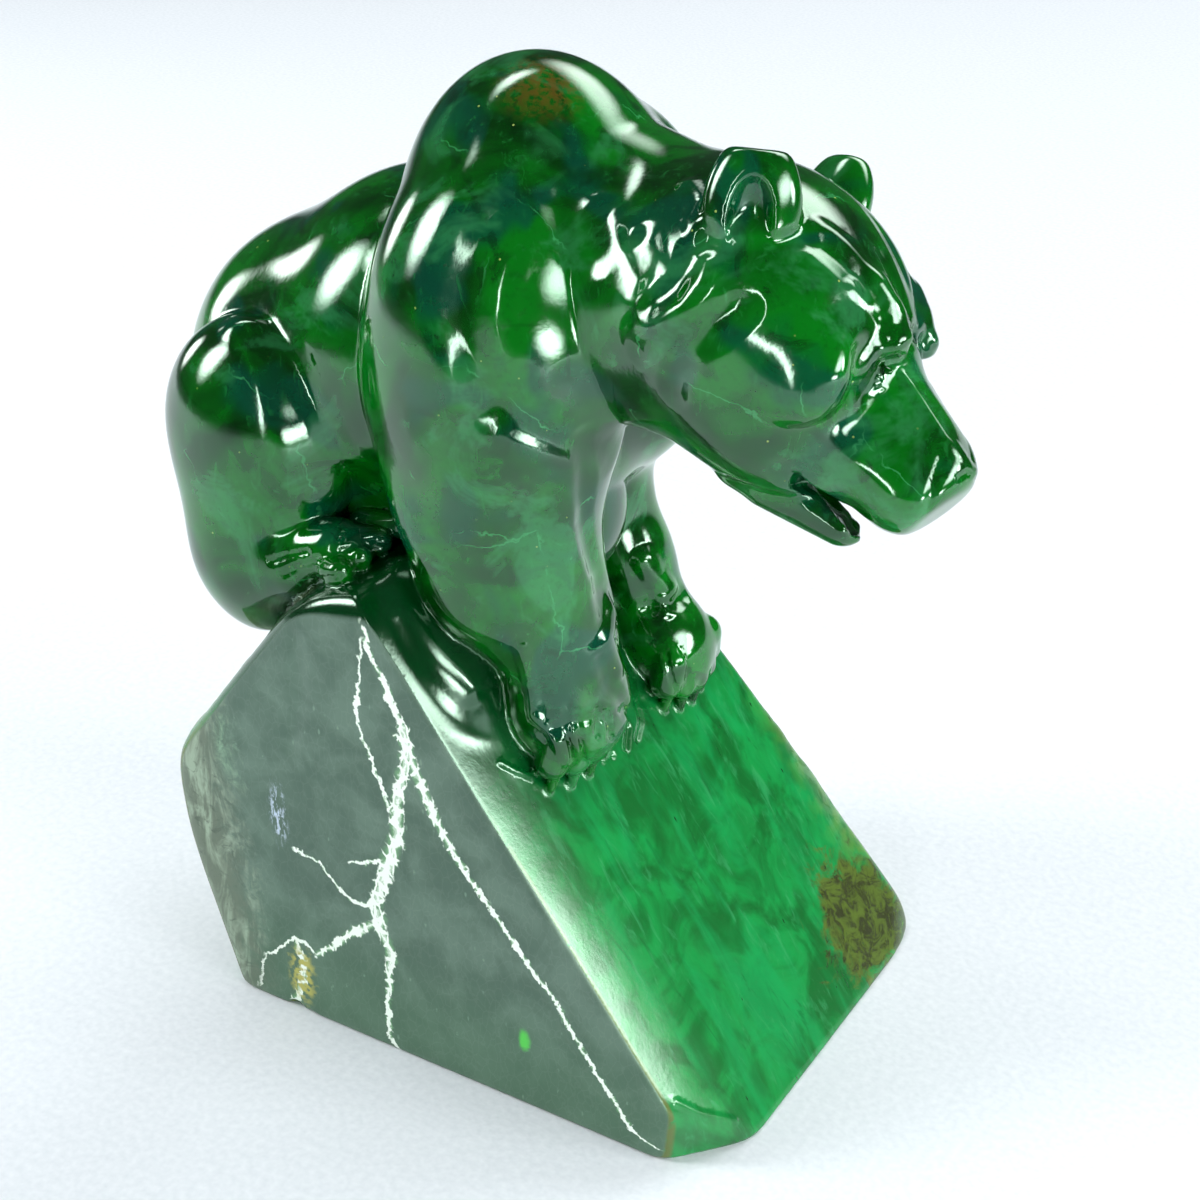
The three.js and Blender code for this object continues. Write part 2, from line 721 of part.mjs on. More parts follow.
const carving = buildCarving();
const { low, high } = findBounds();
const net = castNet(carving, low, high, FINEST_STEP);
settle(carving, net.points, FINEST_STEP / 2);
const facets = thinOut(net.points, outerShell(net.points, net.faces), FACET_COUNT);
// the underside is ground dead flat
for (const point of net.points) {
  if (Math.abs(point[2]) < GROUND_FLAT_WITHIN) {
    point[2] = 0;
  }
}

const jade = new THREE.MeshStandardMaterial({ color: 0x0b4a22, roughness: 0.16, metalness: 0 });
const jadeBearCarving = new THREE.Mesh(toGeometry(net.points, facets), jade);
jadeBearCarving.name = 'jade_bear_carving';

const jadeBear = new THREE.Group();
jadeBear.add(jadeBearCarving);

export default jadeBear;
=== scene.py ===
# A bear carved from one block of green jade, standing over the crest of a sawn wedge of the same
# stone. Forms are worked out in millimetres, and the finished mesh is in metres. +X runs down the
# slope, the way the bear looks, +Y is the bear's left, and the origin is on the flat underside.
import math

import bpy
import numpy as np
from mathutils import Matrix


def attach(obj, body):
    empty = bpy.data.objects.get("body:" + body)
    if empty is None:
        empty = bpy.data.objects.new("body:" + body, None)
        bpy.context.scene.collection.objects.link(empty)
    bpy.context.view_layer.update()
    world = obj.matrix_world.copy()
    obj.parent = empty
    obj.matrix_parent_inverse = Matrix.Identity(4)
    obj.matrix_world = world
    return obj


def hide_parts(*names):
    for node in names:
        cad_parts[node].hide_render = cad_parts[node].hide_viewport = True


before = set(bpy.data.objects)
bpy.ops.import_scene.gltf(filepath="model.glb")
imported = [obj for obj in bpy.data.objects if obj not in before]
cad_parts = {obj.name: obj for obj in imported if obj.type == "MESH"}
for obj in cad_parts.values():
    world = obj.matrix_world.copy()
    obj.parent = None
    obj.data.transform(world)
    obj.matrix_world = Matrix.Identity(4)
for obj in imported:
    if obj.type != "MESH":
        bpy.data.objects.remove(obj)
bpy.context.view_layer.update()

# The camera
# It stands where the photograph was taken from. Lines that only the photograph gives a place to,
# such as folds and veins, are written as its pixels and found on the stone through this camera.
PHOTO_WIDTH = 1200
VIEW_ANGLE = math.radians(30)
CAMERA_AT = np.array([179.9, -291.4, 278.75])
CAMERA_AIM = np.array([-68.81, 122.47, 0.0])
MM = 0.001

view = bpy.data.cameras.new("view")
view.sensor_width = 36
view.lens = 18 / math.tan(VIEW_ANGLE / 2)
camera = bpy.data.objects.new("view", view)
bpy.context.scene.collection.objects.link(camera)
bpy.context.scene.camera = camera

ahead = (CAMERA_AIM - CAMERA_AT) / np.linalg.norm(CAMERA_AIM - CAMERA_AT)
rightward = np.cross(ahead, [0, 0, 1])
rightward /= np.linalg.norm(rightward)
upward = np.cross(rightward, ahead)
camera.matrix_world = Matrix(
    [[rightward[i], upward[i], -ahead[i], CAMERA_AT[i] * MM] for i in range(3)] + [[0, 0, 0, 1]]
)


def sight_lines(pixels):
    """directions from the camera through pixels of the photograph"""
    focal = PHOTO_WIDTH / 2 / math.tan(VIEW_ANGLE / 2)
    across = (np.array(pixels, float) - PHOTO_WIDTH / 2) / focal
    lines = ahead + across[:, :1] * rightward - across[:, 1:] * upward
    return lines / np.linalg.norm(lines, axis=1, keepdims=True)


# The wedge of stone under the bear
# One sawn and polished slope, a flat sawn side towards the camera, and a rounded natural back and
# far side with their rind left on. It is the same stone as the bear, cut from the block in one go.
WEDGE_LENGTH = 105.6
CREST_HEIGHT = 99.5
SAWN_SIDE = 39.5
FAR_SIDE = 45.2
TOE_TO_CREST = 72.4
BACK_BULGE = 10.6
BACK_BULGE_HEIGHT = 50
CREST_FLAT = 6.3
UPRIGHT = np.eye(3, dtype=np.float32)


def row(*values):
    return np.array(values, np.float32)


def unit(vector):
    vector = np.asarray(vector, np.float32)
    return vector / np.linalg.norm(vector)


def flat(point, outward):
    """everything behind a flat cut"""
    outward = unit(outward)
    reach = float(row(*point) @ outward)
    return lambda p: p @ outward - reach


def mass(centre, radii, axes=UPRIGHT):
    """a rounded lump with three half-sizes along its own axes"""
    turn = np.asarray(axes, np.float32).T / row(*radii)
    tight = 1 / row(*radii)

    def distance(p):
        q = (p - row(*centre)) @ turn
        near = np.sqrt((q * q).sum(1))
        q *= tight
        return near * (near - 1) / (np.sqrt((q * q).sum(1)) + 1e-9)
    return distance


def eased(a, b, width):
    h = np.maximum(width - np.abs(a - b), 0) / width
    return np.minimum(a, b) - h * h * h * (width / 6)


def join(width, *solids):
    def distance(p):
        result = solids[0](p)
        for solid in solids[1:]:
            result = eased(result, solid(p), width)
        return result
    return distance


def overlap(width, *solids):
    def distance(p):
        result = solids[0](p)
        for solid in solids[1:]:
            result = -eased(-result, -solid(p), width)
        return result
    return distance


def carve(solid, width, *tools):
    def distance(p):
        result = solid(p)
        for tool in tools:
            result = -eased(-result, tool(p), width)
        return result
    return distance


def within(centre, reach, solid):
    """a solid that is only worked out inside a ball which holds it with room to spare"""
    spare = 14

    def distance(p):
        away = np.sqrt(((p - row(*centre)) ** 2).sum(1)) - reach
        result = away + spare
        close = away < 0
        if close.any():
            result[close] = solid(p[close])
        return result
    return distance


def waver(p, size, seed):
    """a slow uneven swell between about one and minus one"""
    a = p[:, 0] / size + seed
    b = p[:, 1] / size + seed * 1.7
    c = p[:, 2] / size - seed * 0.6
    return (np.sin(a * 1.1 + np.sin(b * 0.9 + c)) + np.sin(b * 1.3 + np.sin(c * 1.1 - a))
            + np.sin(c * 1.2 + np.sin(a * 0.8 + b * 1.4))) / 3


TOE = row(WEDGE_LENGTH / 2, 0, 0)
HEEL = -TOE
CREST = row(TOE[0] - TOE_TO_CREST, 0, CREST_HEIGHT)
DOWN = unit(TOE - CREST)
SLOPE = np.stack([DOWN, row(0, 1, 0), row(-DOWN[2], 0, DOWN[0])])


def on_slope(from_crest, left, out):
    return CREST + row(from_crest, left, out) @ SLOPE


def corner(point, outward, depth):
    outward = unit(outward)
    return flat(row(*point) - outward * depth, outward)


def rind_share(p):
    """nought on the sawn faces and one where the natural skin of the stone is left on"""
    behind = np.clip((-30 - p[:, 0]) / 14, 0, 1) * np.clip((p[:, 1] + 38.8) / 5, 0, 1)
    beyond = np.clip((p[:, 1] - 35) / 6, 0, 1) * np.clip((42 - p[:, 0]) / 20, 0, 1)
    return np.maximum(behind, beyond) * np.clip(p[:, 2] / 5, 0, 1)


def slope_face(p):
    """the polished slope, rolled over a little towards the sawn side"""
    roll = np.clip((-22 - p[:, 1]) / 17.5, 0, 1)
    return flat(CREST, SLOPE[2])(p) + 1.9 * roll * roll


def make_wedge():
    bulge = row(HEEL[0] - BACK_BULGE, 0, BACK_BULGE_HEIGHT)
    back_slope = row(CREST[0] - CREST_FLAT, 0, CREST_HEIGHT) - bulge
    far = overlap(12, flat((0, FAR_SIDE, 0), (0, 1, 0.13)), flat((0, FAR_SIDE + 6.3, 0), (0, 1, 0.27)))
    back = overlap(5, flat(HEEL, (-1, 0, -0.3)), flat(bulge, (-1, 0, 0)),
                   flat(bulge, (-back_slope[2], 0, back_slope[0])))
    toe_corner = corner((TOE[0], -SAWN_SIDE, 0), (0.74, -0.66, -0.075), 8.7)
    far_toe_corner = corner((TOE[0], FAR_SIDE, 0), (0.86, 0.5, -0.1), 2.9)
    far_heel_corner = corner((HEEL[0], FAR_SIDE, 0), (-0.62, 0.78, 0.05), 12.1)
    block = overlap(1.1, slope_face, flat((0, -SAWN_SIDE, 0), (0, -1, 0)))
    block = overlap(3.5, block, toe_corner, far)
    block = overlap(6, block, far_toe_corner, back)
    smooth_block = overlap(12, block, far_heel_corner)

    def weathered(p):
        skin = 0.55 * waver(p, 8, 1) + 0.25 * waver(p, 2.6, 4) + 0.1 * waver(p, 1.1, 7)
        return smooth_block(p) + skin * rind_share(p)

    block = overlap(9, weathered, flat(CREST, (-0.2, -0.12, 1)))
    block = overlap(2.2, block, flat((0, 0, 0), (0, 0, -1)))
    notch = [mass((-38.4, -40.2, -0.4), (2.4, 2.2, 2.6)), mass((-35.2, -40.5, -0.7), (2.2, 1.8, 2))]
    block = carve(block, 0.8, *notch)
    return join(6, block, mass(on_slope(19.4, -27, -1.5), (16, 9, 5), SLOPE))


wedge = make_wedge()


# The trunk of the bear
# Rump, barrel and a high hump of shoulder muscle, carved as full round masses with sharp folds
# where they meet, and polished to a mirror.
def limb(start, end, start_radius, end_radius):
    """a tapering limb with round ends"""
    start = row(*start)
    along = row(*end) - start
    length2 = float(along @ along)
    taper = start_radius - end_radius
    slant2 = length2 - taper * taper

    def distance(p):
        q = p - start
        run = q @ along
        over = run - length2
        away = q * length2 - run[:, None] * along
        away2 = (away * away).sum(1)
        turn = np.sign(taper) * taper * taper * away2
        side = (np.sqrt(away2 * (slant2 / length2)) + run * taper) / length2 - start_radius
        base = np.sqrt(away2 + run * run * length2) / length2 - start_radius
        tip = np.sqrt(away2 + over * over * length2) / length2 - end_radius
        result = np.where(np.sign(run) * slant2 * run * run * length2 < turn, base, side)
        return np.where(np.sign(over) * slant2 * over * over * length2 > turn, tip, result)
    return distance


def both_sides(solid):
    return lambda p: solid(p * row(1, 0, 1) + np.abs(p) * row(0, 1, 0))


shoulder = both_sides(mass((-4.5, 17, 133), (22.5, 19, 33)))
withers = join(12, mass((-6.5, 0, 150.5), (22.5, 21.5, 27)), shoulder)
barrel = mass((-27, 0, 126.5), (28, 27.5, 29))
seat = limb((-45, 0, 95), (-10, 0, 98), 17.5, 17.5)
trunk = join(13, mass((-48, 0, 115), (27.5, 27, 28)), barrel, seat)
trunk = join(1.6, trunk, withers, mass((-75.5, 0, 106), (5.5, 5, 9)))


# The forelegs
# Thick straight legs that reach down the slope, each ending in a broad paw with five toes and
# claws that grip the stone. The near leg is planed flat on its outer side.
def leg(*stations):
    return join(6, *[limb(a, b, ra, rb) for (a, ra), (b, rb) in zip(stations, stations[1:])])


def paw(down, left, out, half_width, half_length, height):
    solid = mass(on_slope(down, left, out), (half_length, half_width, height), SLOPE)
    for toe_number in range(5):
        spread = (toe_number - 2) / 2
        reach = down + half_length * 0.82 - 2.4 * spread ** 2
        knuckle = on_slope(down + half_length * 0.3, left + spread * half_width * 0.66, height * 0.72)
        tip = on_slope(reach, left + spread * half_width * 0.8, 3.2)
        claw_tip = on_slope(reach + 4, left + spread * half_width * 0.86, 0.6)
        solid = join(1.6, solid, limb(knuckle, tip, 3.5, 3))
        solid = join(0.4, solid, limb(tip + SLOPE[2] * 1.2, claw_tip, 1.7, 0.8))
    return solid


near_leg = leg(((-5, -20, 128), 18), ((-4, -19, 110), 16.5), ((-2, -18, 97.5), 15),
               (on_slope(25, -16, 11.5), 10.5), (on_slope(36, -15.5, 8), 9.5))
near_leg = overlap(8, near_leg, flat((-2, -33.6, 96), (0.12, -0.96, 0.22)))
far_leg = leg(((-8, 20, 124), 16), ((-9.5, 18.5, 97.7), 11),
              (on_slope(26, 19, 3.8), 8.2), (on_slope(34.2, 19.2, 2.4), 7.8))
near_leg = join(4, near_leg, paw(38.5, -15, 4.8, 12, 12, 10.2))
far_leg = join(4, far_leg, paw(43, 18.6, 2.6, 9.2, 10.5, 8))
chest = mass((-4, 2, 116), (13, 17, 20))
forelegs = join(5, within((4, -18, 96), 62, near_leg), within((4, 19, 92), 62, far_leg), chest)


# The hind legs
# Each thigh is drawn up and hangs over the weathered back, with a small foot tucked in front of
# it, its toes cut as four short rounded bars that hold on to the crest.
def make_hind_leg():
    haunch = mass((-48.6, 23.6, 112), (18.3, 13.4, 21))
    shank = mass((-50, 24, 94.5), (13.5, 12.5, 21.5))
    thigh = join(8, haunch, shank, limb((-48, 27, 90), (-38, 29, 92), 9, 7))
    foot = limb((-44, 29, 91), (-30, 29, 96.5), 7, 5.5)
    for toe_number in range(4):
        root = (-29 + toe_number * 0.6, 22 + toe_number * 3.7, 98 - toe_number * 0.9)
        tip = (-22 - toe_number * 1.2, 21.5 + toe_number * 4.2, 99.8 - toe_number * 1.3)
        foot = join(0.9, foot, limb(root, tip, 3, 2.3))
    return join(1.4, thigh, foot)


hind_legs = both_sides(within((-46, 24, 104), 54, make_hind_leg()))

# The head
# Turned to the bear's right and tipped down: a broad skull with two cupped ears, heavy brows over
# small eyes, a square muzzle with a flat bridge, and a short parted jaw.
NOSE = row(74, -8, 129.6)
ALONG_NOSE = unit((0.892, -0.114, -0.438))
ACROSS_HEAD = row(-0.08, 0.913, -0.401)
ACROSS_HEAD = unit(ACROSS_HEAD - ALONG_NOSE * float(ACROSS_HEAD @ ALONG_NOSE))
HEAD = np.stack([ALONG_NOSE, ACROSS_HEAD, np.cross(ALONG_NOSE, ACROSS_HEAD)])


def on_head(forward, left, up):
    return NOSE + row(forward, left, up) @ HEAD


def head_flat(point, outward):
    return flat(on_head(*point), row(*outward) @ HEAD)


def head_mass(centre, radii):
    return mass(on_head(*centre), radii, HEAD)


def head_limb(start, end, start_radius, end_radius):
    return limb(on_head(*start), on_head(*end), start_radius, end_radius)


def ear(centre, rise, facing, half_width, half_height):
    up = unit(row(*rise) @ HEAD)
    out = row(*facing) @ HEAD
    out = unit(out - up * float(out @ up))
    axes = np.stack([np.cross(out, up), out, up])
    middle = on_head(*centre)
    shell = overlap(1.6, mass(middle, (half_width, 4.2, half_height), axes), flat(middle + up * 9, up))
    cup = mass(middle + row(0, 4.4, -1.2) @ axes, (half_width * 0.46, 3.6, half_height * 0.6), axes)
    return carve(shell, 1.4, cup)


def make_muzzle():
    core = head_limb((-24, 0, -4.5), (-6.8, 0, -6.5), 12, 9.6)
    core = overlap(1, core, head_flat((-18, 0, 9.2), (0.44, 0, 0.9)))
    sides = [head_flat((-9, side * 6.2, 0), (0.14, side * 0.9, 0.42)) for side in (-1, 1)]
    return overlap(2, core, head_flat((2.3, 0, 0), (0.976, 0, -0.218)), *sides)


def make_head():
    skull = head_mass((-41, 0, -2), (25.5, 24, 21.3))
    jowls = head_mass((-31, 0, -13), (19, 16.5, 12.5))
    solid = join(7, join(8, skull, jowls), make_muzzle())
    for side in (-1, 1):
        solid = carve(solid, 2.2, head_mass((-15.2, side * 10.5, 5.2), (4.2, 3.6, 3)))
        solid = join(2.2, solid, head_limb((-27, side * 8.5, 11.6), (-19, side * 7, 8.2), 3, 2.5))
        solid = join(0.5, solid, head_mass((-17.2, side * 8.2, 4.4), (1.6, 1.5, 1.4)))
        solid = join(5, solid, head_mass((-27, side * 16.5, -3), (9, 5, 8)))
    solid = carve(solid, 2.5, head_limb((-36, 0, 21.4), (-16, 0, 13), 1.6, 1.6))
    upper_lip = head_flat((-16, 0, -16.2), (0.13, 0, 1))
    lower_lip = head_flat((-16, 0, -17.8), (0.05, 0, -1))
    mouth_corner = head_flat((-17.5, 0, 0), (-1, 0, 0))
    mouth = overlap(0.8, overlap(0.5, upper_lip, lower_lip), mouth_corner)
    solid = carve(solid, 0.8, mouth)
    jaw = head_limb((-27, 0, -19.5), (-10.5, 0, -18.6), 7.5, 4.4)
    solid = join(1.2, solid, overlap(0.8, jaw, head_flat((-16, 0, -17.6), (-0.05, 0, 1))))
    return carve(solid, 0.8, head_mass((-11, 0, -17.2), (6.5, 3, 1.6)))


ears = join(1, ear((-45.4, -18.6, 10.6), (-0.5, -0.1, 0.84), (0.3, -0.93, 0.12), 7.3, 11.2),
            ear((-46.8, 16.2, 13.9), (-0.42, 0.25, 0.83), (0.42, 0.9, 0), 7, 10))
neck = limb((2, 0, 146), (32, -3, 143), 24, 21)
head = join(7, neck, within((48, -6, 143), 62, make_head()))
head = join(1.2, head, within((36, -6, 152), 50, ears))

forequarters = join(9, withers, forelegs)
bear = join(1.3, trunk, forequarters, hind_legs, head)
rough_carving = join(1.6, wedge, bear)


# Folds, wrinkles and cut lines
# Each is one stroke of the carver's wheel, deepest along its middle. A stroke is written as the
# pixels that it crosses in the photograph, with its half-width and its depth in millimetres; one
# with a negative depth is a ridge left standing. A creased stroke is cut to a sharp line.
def seen_at(*pixels):
    """the points of the rough carving that show at these pixels"""
    lines = sight_lines(pixels)
    run = np.full(len(pixels), 300.0)
    for _ in range(90):
        reached = (CAMERA_AT + lines * run[:, None]).astype(np.float32)
        run = np.minimum(run + 0.85 * rough_carving(reached), 900)
    return (CAMERA_AT + lines * run[:, None]).astype(np.float32)


def stroke(points, half_width, depth, creased=False):
    middle = (points.max(0) + points.min(0)) / 2
    reach = float(np.sqrt(((points - middle) ** 2).sum(1)).max()) + half_width

    def cut(p):
        result = np.zeros(len(p), np.float32)
        close = ((p - middle) ** 2).sum(1) < reach * reach
        if not close.any():
            return result
        q = p[close]
        nearest = np.full(len(q), 1e9, np.float32)
        for start, end in zip(points, points[1:]):
            along = end - start
            share = np.clip((q - start) @ along / float(along @ along), 0, 1)
            nearest = np.minimum(nearest, ((q - start - share[:, None] * along) ** 2).sum(1))
        fade = np.clip(1 - np.sqrt(nearest) / half_width, 0, 1)
        profile = fade * fade if creased else fade * fade * (3 - 2 * fade)
        result[close] = depth * profile
        return result
    return cut


def across(points):
    """the same stroke on the other side of the body"""
    return points * row(1, -1, 1)


def across_face(points):
    """the same stroke on the other side of the head"""
    local = (points - NOSE) @ HEAD.T
    return NOSE + (local * row(1, -1, 1)) @ HEAD


BODY_STROKES = [
    ([(488, 232), (466, 282), (462, 318), (478, 352), (492, 392)], 8, 1.3, False),
    ([(512, 236), (494, 290), (490, 330), (502, 362)], 5, -0.6, False),
    ([(430, 428), (468, 420), (500, 410), (545, 432), (612, 452)], 5.5, 1.0, False),
    ([(500, 408), (520, 428), (560, 442), (596, 452)], 3, 0.35, False),
    ([(575, 385), (592, 420), (606, 446)], 5, 0.6, False),
    ([(568, 520), (578, 570), (588, 620), (596, 664)], 5, -0.6, False),
    ([(532, 510), (544, 560), (556, 610), (570, 660)], 8, 0.6, False),
    ([(588, 440), (583, 520), (594, 566), (612, 596)], 3.2, 0.9, False),
    ([(600, 590), (606, 620), (592, 636)], 4, 0.6, False),
    ([(612, 600), (606, 640), (618, 668)], 3, -0.7, False),
]
PAW_STROKES = [
    ([(522, 648), (528, 680), (535, 716)], 2.2, -1, False),
    ([(535, 716), (556, 742), (566, 762)], 1.5, -0.6, False),
    ([(568, 706), (566, 730), (572, 760)], 1.3, 0.9, True),
    ([(577, 712), (580, 735), (584, 762)], 1.2, 0.7, True),
    ([(598, 710), (597, 735), (602, 760)], 1.3, 0.9, True),
    ([(606, 712), (610, 735), (612, 756)], 1.2, 0.7, True),
    ([(625, 708), (628, 728), (626, 748)], 1.3, 0.9, True),
    ([(637, 704), (641, 722), (637, 738)], 1.2, 0.7, True),
    ([(545, 735), (570, 722), (598, 716), (628, 712), (642, 700)], 2, 0.45, False),
    ([(600, 660), (612, 690), (626, 706)], 2.6, 0.7, False),
    ([(666, 652), (670, 672), (676, 692)], 1.2, 0.6, True),
    ([(682, 650), (688, 672), (690, 692)], 1.2, 0.6, True),
    ([(646, 560), (656, 578), (668, 590), (664, 604)], 3.4, -1.4, False),
    ([(650, 608), (668, 604), (684, 596)], 2.4, 1.1, False),
]
NECK_STROKES = [
    ([(560, 206), (570, 232), (588, 256)], 5, 0.8, False),
    ([(604, 218), (616, 250), (634, 276)], 4.5, 0.9, False),
    ([(646, 240), (652, 262), (668, 282)], 4, 0.8, False),
    ([(628, 232), (618, 222), (600, 206)], 3.5, -0.5, False),
    ([(706, 238), (690, 252), (684, 272), (672, 292), (650, 306)], 3.4, 0.7, False),
    ([(744, 307), (715, 333), (691, 354), (675, 376), (673, 392)], 3.6, 0.9, False),
    ([(640, 338), (662, 322), (694, 300), (706, 288)], 5, -0.7, False),
    ([(640, 350), (666, 352), (700, 330), (730, 306)], 3.6, 0.8, False),
    ([(700, 490), (740, 486), (780, 498)], 4, 0.6, False),
    ([(688, 186), (697, 202), (692, 218), (697, 232)], 2.6, -0.8, False),
]
FACE_STROKES = [
    ([(820, 228), (846, 248), (872, 276), (893, 302), (912, 328)], 3, -0.6, False),
    ([(826, 246), (850, 266), (870, 290), (888, 314)], 3.4, 0.7, False),
    ([(880, 250), (893, 276), (906, 304), (911, 322)], 2.2, 0.7, True),
    ([(856, 286), (872, 304), (890, 318)], 2.2, -0.5, False),
    ([(916, 332), (910, 350), (897, 360), (884, 374), (868, 392)], 2.6, 0.9, True),
    ([(893, 344), (876, 354), (860, 370)], 3, -0.6, False),
    ([(850, 330), (842, 350), (838, 372)], 4.5, -0.7, False),
    ([(904, 366), (890, 380), (874, 398), (860, 420)], 3.6, 0.6, False),
    ([(894, 370), (882, 378)], 1.2, -0.35, False),
    ([(884, 386), (874, 394)], 1.1, -0.3, False),
    ([(906, 376), (922, 402), (944, 438), (972, 472)], 1.8, -0.5, False),
    ([(941, 460), (936, 474), (932, 488), (929, 508)], 1.6, 0.5, True),
    ([(960, 478), (967, 474), (974, 476)], 1.2, 0.4, True),
    ([(822, 503), (840, 515), (860, 528)], 2.6, 0.8, False),
    ([(782, 470), (800, 484), (812, 494)], 3, 0.7, False),
    ([(706, 243), (732, 250), (766, 248), (806, 240)], 2.6, 0.8, False),
]
HIND_STROKES = [
    ([(236, 324), (262, 330), (290, 352), (322, 410), (346, 456)], 4, -0.8, False),
    ([(262, 340), (288, 372), (304, 420), (318, 480)], 6, 1, False),
    ([(271, 562), (286, 556), (306, 552)], 1.3, 0.8, True),
    ([(283, 575), (300, 566), (318, 560)], 1.3, 0.7, True),
    ([(314, 580), (326, 578), (340, 576)], 1.3, 0.7, True),
    ([(342, 540), (360, 532), (382, 530)], 1.4, 0.7, True),
    ([(344, 550), (366, 544), (388, 548)], 1.4, 0.7, True),
]
ROCK_STROKES = [
    ([(408, 616), (420, 636), (440, 660), (470, 688)], 4, -0.6, False),
    ([(500, 762), (514, 770), (532, 777)], 1, -0.35, False),
    ([(676, 1102), (700, 1114), (735, 1121)], 1.2, -0.35, False),
    ([(295, 640), (300, 700), (290, 745)], 3, 0.35, False),
]

strokes = []
for trace, half_width, depth, creased in BODY_STROKES:
    found = seen_at(*trace)
    strokes.append(stroke(found, half_width, depth, creased))
    strokes.append(stroke(across(found), half_width, depth, creased))
OFF_MIDDLE = 2.5
for trace, half_width, depth, creased in NECK_STROKES + FACE_STROKES:
    found = seen_at(*trace)
    strokes.append(stroke(found, half_width, depth, creased))
    if ((found - NOSE) @ HEAD[1]).mean() < -OFF_MIDDLE:
        strokes.append(stroke(across_face(found), half_width, depth, creased))
for trace, half_width, depth, creased in PAW_STROKES + ROCK_STROKES:
    strokes.append(stroke(seen_at(*trace), half_width, depth, creased))
for trace, half_width, depth, creased in HIND_STROKES:
    found = seen_at(*trace)
    strokes.append(stroke(found, half_width, depth, creased))
    strokes.append(stroke(across(found), half_width, depth, creased))


def finished_carving(p):
    result = rough_carving(p)
    for cut in strokes:
        result = result + cut(p)
    hand_worked = 0.15 * waver(p, 11, 2) + 0.035 * waver(p, 4, 5)
    return np.maximum(result + hand_worked * np.clip(p[:, 2] / 3, 0, 1), -p[:, 2])


# The stone itself
# One mesh closes over the whole carving. A grid of distances is sampled only near the surface,
# the mesh is tied between its cells, drawn onto the true form and thinned to a manageable count.
GRID_STEP = 0.66
GRID_BLOCK = 8
BLOCKS_AT_A_TIME = 64
POINTS_AT_A_TIME = 8000
JUST_INSIDE = -0.02
MOST_TRIANGLES = 192000


def sample(solid, low, high):
    blocks = np.ceil((high - low) / (GRID_STEP * GRID_BLOCK)).astype(int)
    span = GRID_STEP * GRID_BLOCK
    places = np.stack(np.meshgrid(*[np.arange(n) for n in blocks], indexing="ij"), -1).reshape(-1, 3)
    middles = (low + (places + 0.5) * span).astype(np.float32)
    coarse = solid(middles)
    field = np.empty((*blocks, GRID_BLOCK, GRID_BLOCK, GRID_BLOCK), np.float32)
    field[:] = coarse.reshape(*blocks, 1, 1, 1)
    inner = np.stack(np.meshgrid(*[np.arange(GRID_BLOCK)] * 3, indexing="ij"), -1).reshape(-1, 3)
    busy = places[np.abs(coarse) < span * 1.15]
    for first in range(0, len(busy), BLOCKS_AT_A_TIME):
        some = busy[first:first + BLOCKS_AT_A_TIME]
        points = low + (some[:, None] * GRID_BLOCK + inner[None]) * GRID_STEP
        values = solid(points.reshape(-1, 3).astype(np.float32))
        field[tuple(some.T)] = values.reshape(len(some), GRID_BLOCK, GRID_BLOCK, GRID_BLOCK)
    order = (0, 3, 1, 4, 2, 5)
    return field.transpose(order).reshape(*(blocks * GRID_BLOCK))


def one_sheet_table():
    """for each way a cell's eight corners can lie in or out, whether one plain sheet parts them"""
    table = np.ones(256, bool)
    for case in range(256):
        for side in (0, 1):
            members = {c for c in range(8) if (case >> c & 1) == side}
            if members:
                found = {min(members)}
                while True:
                    wider = found | {c ^ bit for c in found for bit in (1, 2, 4) if c ^ bit in members}
                    if wider == found:
                        break
                    found = wider
                table[case] &= found == members
    return table


def cell_cases(inside):
    case = np.zeros(tuple(n - 1 for n in inside.shape), np.uint8)
    for c in range(8):
        i, j, k = c & 1, c >> 1 & 1, c >> 2
        part = inside[i:inside.shape[0] - 1 + i, j:inside.shape[1] - 1 + j, k:inside.shape[2] - 1 + k]
        case |= part.astype(np.uint8) << c
    return case


def close_clefts(field):
    """fills cells that two sheets would cross, which are clefts too narrow for the grid"""
    plain = one_sheet_table()
    for _ in range(12):
        tangled = np.argwhere(~plain[cell_cases(field < 0)])
        if len(tangled) == 0:
            break
        for c in range(8):
            spot = tuple((tangled + [c & 1, c >> 1 & 1, c >> 2]).T)
            field[spot] = np.where(field[spot] >= 0, JUST_INSIDE, field[spot])
    return field


